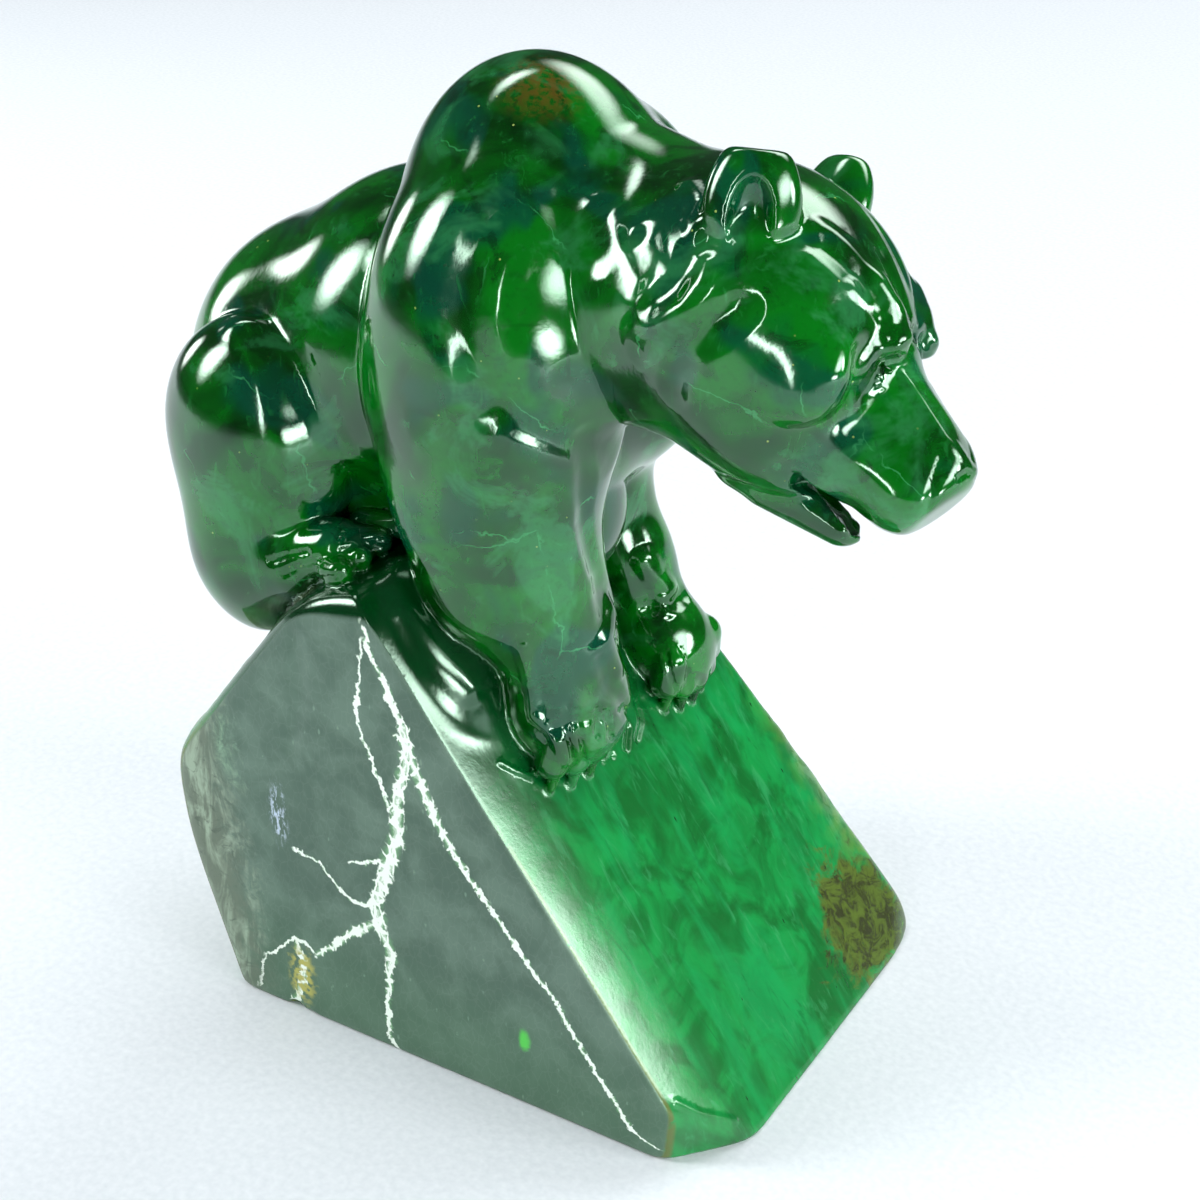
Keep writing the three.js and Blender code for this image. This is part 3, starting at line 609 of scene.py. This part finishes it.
def tie_net(field, low):
    inside = field < 0
    case = cell_cases(inside)
    cells = np.argwhere((case != 0) & (case != 255))
    number = np.full(case.shape, -1, np.int64)
    number[tuple(cells.T)] = np.arange(len(cells))
    total = np.zeros((len(cells), 3))
    crossings = np.zeros(len(cells))
    for a in range(8):
        for axis in range(3):
            b = a | 1 << axis
            if b == a:
                continue
            corner_a = np.array([a & 1, a >> 1 & 1, a >> 2])
            corner_b = np.array([b & 1, b >> 1 & 1, b >> 2])
            value_a = field[tuple((cells + corner_a).T)]
            value_b = field[tuple((cells + corner_b).T)]
            crossed = (value_a < 0) != (value_b < 0)
            share = np.where(crossed, value_a / np.where(crossed, value_a - value_b, 1), 0)
            point = corner_a + share[:, None] * (corner_b - corner_a)
            total += point * crossed[:, None]
            crossings += crossed
    points = low + (cells + total / crossings[:, None]) * GRID_STEP
    faces = []
    for axis in range(3):
        u, v = (axis + 1) % 3, (axis + 2) % 3
        here = [slice(1, -1)] * 3
        there = [slice(1, -1)] * 3
        there[axis] = slice(2, None)
        crossed = np.argwhere(inside[tuple(here)] != inside[tuple(there)]) + 1
        leaving = inside[tuple(crossed.T)]
        ring = []
        for du, dv in ((1, 1), (0, 1), (0, 0), (1, 0)):
            step = np.zeros(3, int)
            step[u], step[v] = du, dv
            ring.append(number[tuple((crossed - step).T)])
        ring = np.stack(ring, 1)
        faces.append(np.where(leaving[:, None], ring, ring[:, ::-1]))
    return points, np.concatenate(faces)


def gradient(solid, points, probe):
    slopes = [solid(points + probe * axis) - solid(points - probe * axis) for axis in UPRIGHT]
    return np.stack(slopes, 1) / (2 * probe)


def in_turn(work, points):
    """runs some work on many points, a few at a time, so that far parts are passed over"""
    firsts = range(0, len(points), POINTS_AT_A_TIME)
    return np.concatenate([work(points[i:i + POINTS_AT_A_TIME]) for i in firsts])


def settle(solid, points):
    def draw_in(some):
        for _ in range(2):
            away = np.clip(solid(some), -GRID_STEP / 2, GRID_STEP / 2)
            lean = gradient(solid, some, 0.1)
            some = some - lean * (away / np.maximum((lean ** 2).sum(1), 0.3))[:, None]
        return some
    return in_turn(draw_in, points.astype(np.float32))


low_corner = np.array([-84.0, -50.0, -4.0])
high_corner = np.array([82.0, 55.0, 184.0])
distances = close_clefts(sample(finished_carving, low_corner, high_corner))
net_points, net_faces = tie_net(distances, low_corner)
net_points = settle(finished_carving, net_points)
GROUND_FLAT_WITHIN = 0.12
net_points[np.abs(net_points[:, 2]) < GROUND_FLAT_WITHIN, 2] = 0

net = bpy.data.meshes.new("jade_bear")
net.from_pydata((net_points * MM).tolist(), [], net_faces.tolist())
jade_bear = bpy.data.objects.new("jade_bear", net)
bpy.context.scene.collection.objects.link(jade_bear)
triangles = 2 * len(net_faces)
thinning = jade_bear.modifiers.new("thinning", "DECIMATE")
thinning.ratio = min(1, MOST_TRIANGLES / triangles)
thinning.use_collapse_triangulate = True
settled_bear = jade_bear.evaluated_get(bpy.context.evaluated_depsgraph_get())
thinned = bpy.data.meshes.new_from_object(settled_bear)
jade_bear.modifiers.clear()
jade_bear.data = thinned
thinned.name = "jade_bear"
print("stone:", triangles, "then", len(thinned.polygons), "triangles")

places = np.empty(len(thinned.vertices) * 3, np.float32)
thinned.vertices.foreach_get("co", places)
places = places.reshape(-1, 3) / MM
thinned.polygons.foreach_set("use_smooth", np.ones(len(thinned.polygons), bool))


def steepest(some):
    lean = gradient(finished_carving, some, 0.12)
    return lean / np.maximum(np.sqrt((lean ** 2).sum(1)), 1e-6)[:, None]


normals = in_turn(steepest, places)
thinned.normals_split_custom_set_from_vertices(normals.tolist())


def paint_mask(name, values):
    layer = thinned.attributes.new(name, "FLOAT", "POINT")
    layer.data.foreach_set("value", np.clip(values, 0, 1).astype(np.float32))


SEAM_WIDTH = 1.6
bear_share = in_turn(lambda some: 0.5 + (wedge(some) - bear(some)) / SEAM_WIDTH, places)
paint_mask("bear", bear_share)
paint_mask("rind", in_turn(rind_share, places))


# The finish of the jade
# Deep green nephrite, mirror bright on the bear, satin on the slope and matt on the sawn side,
# where white veins run through it. The natural skin on the back is pale, brown and rough.
class Tint:
    """One output of a shader node. Sums on it add Math nodes."""

    def __init__(self, stuff, socket):
        self.stuff = stuff
        self.socket = socket

    def maths(self, operation, *values):
        sockets = dict(enumerate(values))
        return self.stuff.node("Math", {"operation": operation}, sockets)

    def __add__(self, other):
        return self.maths("ADD", self, other)

    def __radd__(self, other):
        return self.maths("ADD", other, self)

    def __sub__(self, other):
        return self.maths("SUBTRACT", self, other)

    def __rsub__(self, other):
        return self.maths("SUBTRACT", other, self)

    def __mul__(self, other):
        return self.maths("MULTIPLY", self, other)

    def __truediv__(self, other):
        return self.maths("DIVIDE", self, other)

    def __abs__(self):
        return self.maths("ABSOLUTE", self)

    def above(self, start, end):
        """nought below start and one above end, eased between them"""
        settings = {"interpolation_type": "SMOOTHSTEP"}
        return self.stuff.node("MapRange", settings, {0: self, 1: start, 2: end, 3: 0.0, 4: 1.0})


class Stuff:
    """A material while it is being mixed."""

    def __init__(self, name):
        self.material = bpy.data.materials.new(name)
        self.material.use_nodes = True
        self.tree = self.material.node_tree
        self.tree.nodes.clear()

    def node(self, kind, settings, sockets, out=0):
        made = self.tree.nodes.new("ShaderNode" + kind)
        for name, value in settings.items():
            if name == "curve":
                line = made.mapping.curves[0]
                while len(line.points) < len(value):
                    line.points.new(0.5, 0.5)
                for point, place in zip(line.points, value):
                    point.location = place
                    point.handle_type = "VECTOR"
                made.mapping.update()
            else:
                setattr(made, name, value)
        for key, value in sockets.items():
            if isinstance(value, Tint):
                self.tree.links.new(value.socket, made.inputs[key])
            else:
                made.inputs[key].default_value = value
        return Tint(self, made.outputs[out]) if made.outputs else None

    def mix(self, first, second, share):
        return self.node("Mix", {"data_type": "RGBA"}, {0: share, 6: first, 7: second}, 2)

    def edges(self, place, size):
        """how far a place is from the nearest edge of a mesh of uneven cells"""
        sockets = {"Vector": place, "Scale": 1 / size}
        return self.node("TexVoronoi", {"feature": "DISTANCE_TO_EDGE"}, sockets)

    def dots(self, place, size):
        """how far a place is from the nearest of many scattered points"""
        return self.node("TexVoronoi", {}, {"Vector": place, "Scale": 1 / size})

    def noise(self, place, size, detail=3.0, rough=0.5, twist=0.0):
        sockets = {"Vector": place, "Scale": 1 / size}
        sockets.update({"Detail": detail, "Roughness": rough, "Distortion": twist})
        return self.node("TexNoise", {}, sockets)

    def moved(self, operation, first, second):
        return self.node("VectorMath", {"operation": operation}, {0: first, 1: second})

    def parts(self, vector):
        outputs = self.node("SeparateXYZ", {}, {0: vector}).socket.node.outputs
        return [Tint(self, output) for output in outputs]

    def distance(self, vector, point):
        return self.node("VectorMath", {"operation": "DISTANCE"}, {0: vector, 1: point}, 1)


def srgb(red, green, blue):
    """a colour as it is read off a screen, 0 to 255"""
    def linear(value):
        value /= 255
        return value / 12.92 if value < 0.04045 else ((value + 0.055) / 1.055) ** 2.4
    return (linear(red), linear(green), linear(blue), 1)


jade = Stuff("jade")
place = jade.node("TexCoord", {}, {}, 3)
place = jade.moved("MULTIPLY", place, (1000, 1000, 1000))
x, y, z = jade.parts(place)
on_bear = jade.node("Attribute", {"attribute_name": "bear"}, {}, 2)
on_rind = jade.node("Attribute", {"attribute_name": "rind"}, {}, 2)

# clouds, fibres and fissures in the polished green of the bear
fibre_place = jade.moved("MULTIPLY", place, (1.0, 1.0, 0.28))
fibres = jade.noise(fibre_place, 2.4, 4.0, 0.62, 1.2)
clouds = jade.noise(place, 19, 3.0, 0.55, 0.8)
teal = jade.noise(jade.moved("ADD", place, (40, 10, 70)), 15, 2.0, 0.5, 0.5)
mottle = jade.noise(place, 1.1, 3.0, 0.6)
green = jade.mix(srgb(0, 44, 2), srgb(2, 100, 14), clouds.above(0.36, 0.66))
green = jade.mix(green, srgb(2, 62, 46), teal.above(0.52, 0.64) * 0.75)
green = jade.mix(green, srgb(34, 126, 58), fibres.above(0.56, 0.78) * 0.42)
green = jade.mix(green, srgb(0, 24, 2), jade.noise(place, 9, 4.0, 0.6, 1.0).above(0.54, 0.68) * 0.6)
# pale green patches: partly the stone's own paler tone, partly painted sheen standing in for the
# floor's reflection and light glowing through the jade
pale_tone_and_painted_sheen = jade.noise(jade.moved("ADD", place, (15, 60, 5)), 17, 4.0, 0.6, 0.8).above(0.53, 0.66)
green = jade.mix(green, srgb(44, 124, 72), pale_tone_and_painted_sheen * 0.5)
green = jade.mix(green, srgb(0, 44, 6), mottle.above(0.5, 0.72) * 0.25)
crack_sway = jade.node("TexNoise", {}, {"Vector": place, "Scale": 0.25, "Detail": 4.0}, 1)
crack_place = jade.moved("ADD", place, jade.moved("MULTIPLY", crack_sway, (5, 5, 5)))
cracks = jade.edges(crack_place, 24)
fissures = (1 - cracks.above(0.001, 0.009)) * jade.noise(place, 8).above(0.5, 0.66)
green = jade.mix(green, srgb(70, 170, 105), fissures * 0.4)
specks = (1 - jade.dots(place, 3.4).above(0.03, 0.07)) * jade.noise(place, 8).above(0.5, 0.6)
green = jade.mix(green, srgb(150, 170, 90), specks)
HUMP_STAIN = (-2, -6, 174)
hump_stain = (1 - jade.distance(place, HUMP_STAIN).above(2, 9)) * mottle.above(0.35, 0.6)
green = jade.mix(green, srgb(96, 62, 20), hump_stain * 0.6)

# the bright satin green of the slope, streaked from the crest down to the toe
streak_place = jade.moved("MULTIPLY", place, (0.28, 1.0, 0.28))
streaks = jade.noise(streak_place, 2.2, 4.0, 0.6, 0.7)
patches = jade.noise(streak_place, 8, 3.0, 0.55, 0.8)
deeper = jade.noise(place, 11, 4.0, 0.55, 0.8).above(0.36, 0.66)
emerald = jade.mix(srgb(0, 88, 28), srgb(6, 128, 54), deeper)
emerald = jade.mix(emerald, srgb(8, 140, 70), patches.above(0.44, 0.7) * 0.6)
emerald = jade.mix(emerald, srgb(44, 142, 84), streaks.above(0.54, 0.74) * 0.5)
dark_streaks = jade.noise(streak_place, 4.4, 4.0, 0.6, 1.2).above(0.56, 0.72)
emerald = jade.mix(emerald, srgb(0, 72, 24), dark_streaks * 0.5)
far_edge = y.above(30, 43) * jade.noise(place, 4, 4.0).above(0.4, 0.6)
emerald = jade.mix(emerald, srgb(86, 128, 40), far_edge * 0.7)
# darker towards the crest: painted shade and a painted dark reflection of the bear standing over the
# upper slope
emerald = jade.mix(emerald, srgb(0, 34, 9), z.above(46, 76) * 0.92)
RUST_PATCH = (46, 29, 9)
rust_far = jade.distance(place, RUST_PATCH)
ragged = jade.noise(place, 3, 4.0, 0.65, 1.0)
rust_edge = jade.noise(place, 7, 5.0, 0.65, 1.0)
rust = (1 - (rust_far + rust_edge * 40).above(29, 36))
rust_depth = jade.noise(place, 4, 6.0, 0.7, 1.0).above(0.36, 0.64)
rust_colour = jade.mix(srgb(78, 98, 30), srgb(40, 42, 14), rust_depth)
emerald = jade.mix(emerald, rust_colour, rust)
slope_specks = (1 - jade.dots(streak_place, 2.6).above(0.05, 0.1)) * ragged.above(0.5, 0.6)
emerald = jade.mix(emerald, srgb(0, 60, 20), slope_specks)

# the grey-green sawn side
greyer = jade.noise(place, 10, 3.0, 0.55, 0.5).above(0.38, 0.66)
dull = jade.mix(srgb(58, 80, 68), srgb(82, 104, 91), greyer)
dull = jade.mix(dull, srgb(48, 70, 58), streaks.above(0.5, 0.75) * 0.5)
dull = jade.mix(dull, srgb(58, 96, 66), z.above(34, 4) * 0.5)
fleck_place = jade.moved("MULTIPLY", place, (1, 1, 0.4))
flecks = (1 - jade.dots(fleck_place, 2.2).above(0.06, 0.16)) * ragged.above(0.45, 0.6)
dull = jade.mix(dull, srgb(120, 150, 128), flecks * 0.5)

# veins, each a line across the sawn side with a width of its own
SAWN_SPAN = (-66.0, 58.0)
HEIGHT_SPAN = (-2.0, 102.0)
WIDEST_VEIN = 4


def on_sawn_side(pixels):
    """where pixels of the photograph lie on the sawn side, as lengths along and up"""
    lines = sight_lines(pixels)
    run = (-SAWN_SIDE - CAMERA_AT[1]) / lines[:, 1]
    hit = CAMERA_AT + lines * run[:, None]
    return hit[:, 0], hit[:, 2]


def share_of(values, span):
    return (np.asarray(values) - span[0]) / (span[1] - span[0])


warp = jade.node("TexNoise", {}, {"Vector": place, "Scale": 0.45, "Detail": 4.0, "Roughness": 0.65}, 1)
sway = [(part - 0.5) * 3.2 for part in jade.parts(warp)]
fine = jade.noise(jade.moved("MULTIPLY", place, (1, 1, 0.35)), 0.9, 3.0, 0.65)


def vein(pixels, widths, upright=True):
    """how far inside one vein a place is, and whether it lies on the white thread down its middle"""
    along, up = on_sawn_side(pixels)
    if upright:
        run, run_span, off, off_span = up, HEIGHT_SPAN, along, SAWN_SPAN
        here, beside = z, x + sway[0]
    else:
        run, run_span, off, off_span = along, SAWN_SPAN, up, HEIGHT_SPAN
        here, beside = x, z + sway[2]
    order = np.argsort(run)
    steps = np.linspace(0, 1, len(run))
    width = np.interp(steps, np.linspace(0, 1, len(widths)), widths)[order]
    run, off = run[order], off[order]
    stops = share_of(run, run_span)
    share = (here - run_span[0]) / (run_span[1] - run_span[0])
    line = list(zip(stops, share_of(off, off_span)))
    middle = jade.node("FloatCurve", {"curve": line}, {1: share})
    half = jade.node("FloatCurve", {"curve": list(zip(stops, width / WIDEST_VEIN))}, {1: share})
    started = here.above(run.min() - 0.6, run.min() + 0.6)
    ended = here.above(run.max() - 0.6, run.max() + 0.6)
    ends = started * (1 - ended)
    apart_by = abs(beside - (middle * (off_span[1] - off_span[0]) + off_span[0]))
    body = (1 - (apart_by / (half * WIDEST_VEIN + 0.05)).above(0.3, 1.3)) * ends
    return body, (1 - apart_by.above(0.08, 0.42)) * ends


VEINS = [
    ([(385, 577), (361, 605), (357, 622)], (0.3, 0.35), True),
    ([(362, 628), (369, 654), (381, 675), (389, 699), (402, 724), (407, 745), (402, 777), (397, 805),
      (397, 834), (389, 862), (381, 887), (375, 907)],
     (0.5, 0.5, 0.7, 1.1, 1.3, 1.1, 1.2, 1.5, 1.9, 1.6, 1.7), True),
    ([(375, 907), (381, 932), (391, 952), (389, 981), (389, 1009), (391, 1038), (402, 1054)],
     (1.9, 1.5, 1.1, 0.7, 0.5, 0.35), True),
    ([(399, 736), (408, 752), (424, 793), (442, 834), (467, 875), (495, 915), (528, 964), (553, 997),
      (573, 1034), (597, 1075), (618, 1107), (634, 1132), (655, 1148)],
     (1.3, 1.4, 0.9, 0.8, 0.6, 0.7, 0.5), True),
    ([(361, 638), (358, 670), (357, 695), (355, 711), (369, 756), (381, 785), (391, 813)],
     (0.2, 0.35, 0.4, 0.5), True),
    ([(293, 848), (320, 862), (336, 887), (353, 903), (373, 907)], (0.3, 0.45, 0.5), False),
    ([(349, 862), (365, 864), (381, 860)], (0.3, 0.6), False),
    ([(375, 922), (349, 936), (328, 948), (316, 956)], (1.0, 1.1, 0.9), False),
    ([(265, 954), (280, 948), (295, 938), (306, 942), (316, 956)], (0.35, 0.4), False),
    ([(295, 938), (304, 960), (304, 981), (295, 1001)], (0.6, 1.2, 0.9), True),
    ([(265, 953), (264, 969), (259, 985)], (0.3, 0.3), True),
    ([(325, 600), (345, 590), (365, 583)], (0.5, 0.4), False),
]
vein_body, vein_thread = vein(*VEINS[0])
for trace in VEINS[1:]:
    body, thread = vein(*trace)
    vein_body = vein_body.maths("MAXIMUM", vein_body, body)
    vein_thread = vein_thread.maths("MAXIMUM", vein_thread, thread)
cell_sway = jade.moved("MULTIPLY", warp, (1.2, 1.2, 1.2))
cell_place = jade.moved("MULTIPLY", jade.moved("ADD", place, cell_sway), (1, 1, 0.55))
web = 1 - jade.edges(cell_place, 1.5).above(0.03, 0.2)
frayed = (vein_body * 0.85 + web * 0.7 - 0.62).above(0.05, 0.42)
frayed = frayed.maths("MAXIMUM", frayed, vein_thread * fine.above(0.3, 0.46))
dull = jade.mix(dull, srgb(112, 168, 112), vein_body * 0.8)
dull = jade.mix(dull, srgb(232, 242, 232), frayed)


def spot(pixel, inner, outer, stretch=(1, 1, 1)):
    """a soft round patch on the sawn side, one at its middle"""
    along, up = on_sawn_side([pixel])
    centre = (float(along[0]), -SAWN_SIDE, float(up[0]))
    away = jade.moved("MULTIPLY", jade.moved("SUBTRACT", place, centre), stretch)
    length = jade.node("VectorMath", {"operation": "LENGTH"}, {0: away}, 1)
    return 1 - (length + (ragged - 0.5) * outer).above(inner, outer)


crust = spot((303, 975), 2.5, 6, (1.6, 1, 0.7)) * jade.noise(place, 1.4, 3.0).above(0.4, 0.55)
dull = jade.mix(dull, srgb(168, 164, 74), crust)
dull = jade.mix(dull, srgb(70, 190, 60), spot((524, 1040), 0.8, 2.6, (1.6, 1, 0.8)))
glint = spot((278, 812), 1, 6, (2.2, 1, 0.7)) * fine.above(0.48, 0.6)
dull = jade.mix(dull, srgb(190, 205, 225), glint)
rind_patch = (1 - (x + z * 0.1 + (ragged - 0.5) * 16).above(-52, -40)) * (1 - z.above(88, 94))
pale_fibres = jade.noise(fibre_place, 4, 4.0, 0.6, 1.0).above(0.42, 0.62)
skin_tone = jade.mix(srgb(92, 100, 84), srgb(150, 168, 146), pale_fibres)
dark_pits = jade.noise(place, 5, 4.0, 0.65, 1.4).above(0.54, 0.68)
skin_tone = jade.mix(skin_tone, srgb(52, 56, 46), dark_pits * 0.8)
pale_skin = spot((232, 748), 3, 8, (1.6, 1, 0.8)) * fibres.above(0.3, 0.55)
skin_tone = jade.mix(skin_tone, srgb(150, 190, 156), pale_skin)
lens = spot((283, 700), 4, 6.5, (1.7, 1, 0.75))
lens_colour = jade.mix(srgb(64, 74, 62), srgb(130, 146, 124), lens.above(0.5, 0.9))
skin_tone = jade.mix(skin_tone, lens_colour, lens.above(0.05, 0.35))
dull = jade.mix(dull, skin_tone, rind_patch * 0.85)
skin_tone = jade.mix(skin_tone, srgb(96, 84, 52), jade.noise(place, 12, 3.0).above(0.5, 0.66) * 0.6)

# which finish shows where
ripple = jade.noise(place, 0.7, 2.0) * 0.05 + jade.noise(place, 2.6, 2.0) * 0.12


def finish(colour, gloss, relief):
    """one finish of the stone: its colour, how rough it is, and a relief finer than the mesh"""
    bump = jade.node("Bump", {}, {"Strength": 0.35, "Distance": 0.0004, "Height": ripple + relief})
    return jade.node("BsdfPrincipled", {}, {
        "Base Color": colour, "Roughness": gloss, "IOR": 1.62, "Normal": bump,
        "Specular IOR Level": 0.7, "Specular Tint": (0.7, 1.0, 0.8, 1),
    })


def either(first, second, share):
    return jade.node("MixShader", {}, {0: share, 1: first, 2: second})


on_side = 1 - y.above(0.35 - SAWN_SIDE, 0.65 - SAWN_SIDE)
edge_line = (1 - y.above(0.9 - SAWN_SIDE, 1.5 - SAWN_SIDE)) * y.above(-SAWN_SIDE, 0.3 - SAWN_SIDE)
olive_edge = edge_line * (1 - z.above(48, 66)) * ragged.above(0.3, 0.5)
emerald = jade.mix(emerald, srgb(84, 96, 34), olive_edge)
slope = finish(emerald, 0.2 + streaks * 0.08 - z.above(50, 86) * 0.1, fine * 0.12)
rind = finish(skin_tone, 0.5, fine * 0.06 + ragged * 0.9)
side = finish(dull, 0.4 + fine * 0.1, fine * 0.12)
polished = finish(green, 0.085 + mottle.above(0.45, 0.8) * 0.05, 0)
surface = either(either(either(slope, rind, on_rind), side, on_side), polished, on_bear)
jade.node("OutputMaterial", {}, {"Surface": surface})
thinned.materials.clear()
thinned.materials.append(jade.material)
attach(jade_bear, "root")
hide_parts("jade_bear_carving")


# The table
# A sheet of pale matt paper that fills the picture, with a faint grain.
paper = Stuff("paper")
paper_place = paper.node("TexCoord", {}, {}, 3)
grain = paper.node("TexNoise", {}, {"Vector": paper_place, "Scale": 700.0, "Detail": 1.0})
paper_colour = paper.mix(srgb(206, 214, 220), srgb(226, 232, 237), grain)
paper_bump = paper.node("Bump", {}, {"Strength": 0.25, "Distance": 0.0004, "Height": grain})
paper_sockets = {"Base Color": paper_colour, "Roughness": 0.85, "Normal": paper_bump}
paper_surface = paper.node("BsdfPrincipled", {}, paper_sockets)
paper.node("OutputMaterial", {}, {"Surface": paper_surface})
sheet = bpy.data.meshes.new("table")
TABLE_REACH = 3.0
table_corners = [(across * TABLE_REACH, along * TABLE_REACH, 0)
                 for across, along in ((-1, -1), (1, -1), (1, 1), (-1, 1))]
sheet.from_pydata(table_corners, [], [(0, 1, 2, 3)])
sheet.materials.append(paper.material)
table = bpy.data.objects.new("table", sheet)
bpy.context.scene.collection.objects.link(table)


# Light
# Soft boxes round the table in an otherwise dark room, so that the polish shows bright panels
# between stretches of deep green. Each one's brightness is the same however large it is made.
def soft_box(name, at, aim, width, height, brightness):
    """a lit cloth panel that fades out towards its edges"""
    light = bpy.data.lights.new(name, "AREA")
    light.shape = "RECTANGLE"
    light.size = width
    light.size_y = height
    light.energy = brightness * math.pi * width * height
    light.use_nodes = True
    tree = light.node_tree
    glow = tree.nodes["Emission"]
    spread = tree.nodes.new("ShaderNodeNewGeometry").outputs["Parametric"]
    offset = tree.nodes.new("ShaderNodeVectorMath")
    offset.operation = "DISTANCE"
    offset.inputs[1].default_value = (0.5, 0.5, 0)
    fade = tree.nodes.new("ShaderNodeMapRange")
    fade.interpolation_type = "SMOOTHSTEP"
    for key, value in (("From Min", 0.12), ("From Max", 0.5), ("To Min", 1), ("To Max", 0)):
        fade.inputs[key].default_value = value
    tree.links.new(spread, offset.inputs[0])
    tree.links.new(offset.outputs["Value"], fade.inputs["Value"])
    tree.links.new(fade.outputs["Result"], glow.inputs["Strength"])
    lamp = bpy.data.objects.new(name, light)
    bpy.context.scene.collection.objects.link(lamp)
    back = unit(np.array(at) - np.array(aim))
    side = unit(np.cross([0, 0, 1], back))
    top = np.cross(back, side)
    lamp.matrix_world = Matrix(
        [[float(side[i]), float(top[i]), float(back[i]), at[i]] for i in range(3)] + [[0, 0, 0, 1]]
    )


soft_box("back_box", (0.25, 1.1, 1.2), (0, 0, 0.1), 2.4, 1.0, 8)
soft_box("right_box", (0.95, -0.08, 0.52), (0, 0, 0.08), 1.0, 0.42, 15)
soft_box("band_box", (0.92, 0.26, 0.36), (0, 0, 0.08), 0.36, 0.34, 24)
soft_box("low_box", (0.78, -0.42, 0.14), (0, 0, 0.09), 0.5, 0.24, 24)
soft_box("side_box", (0.12, -0.9, 0.4), (0, 0, 0.1), 0.12, 0.9, 20)
soft_box("left_box", (-0.75, -0.42, 0.58), (0, 0, 0.1), 0.42, 0.8, 22)
soft_box("rump_box", (-0.95, 0.08, 0.26), (0, 0, 0.1), 0.3, 0.4, 14)
soft_box("top_box", (-0.62, 0.3, 1.2), (0, 0, 0.1), 0.9, 0.3, 12)

# the little light that the dark room itself gives back
world = bpy.data.worlds.new("room")
bpy.context.scene.world = world
world.use_nodes = True
room = world.node_tree.nodes["Background"]
room.inputs["Color"].default_value = (0.8, 0.9, 1.0, 1)
room.inputs["Strength"].default_value = 0.06
bpy.context.scene.view_settings.view_transform = "Standard"
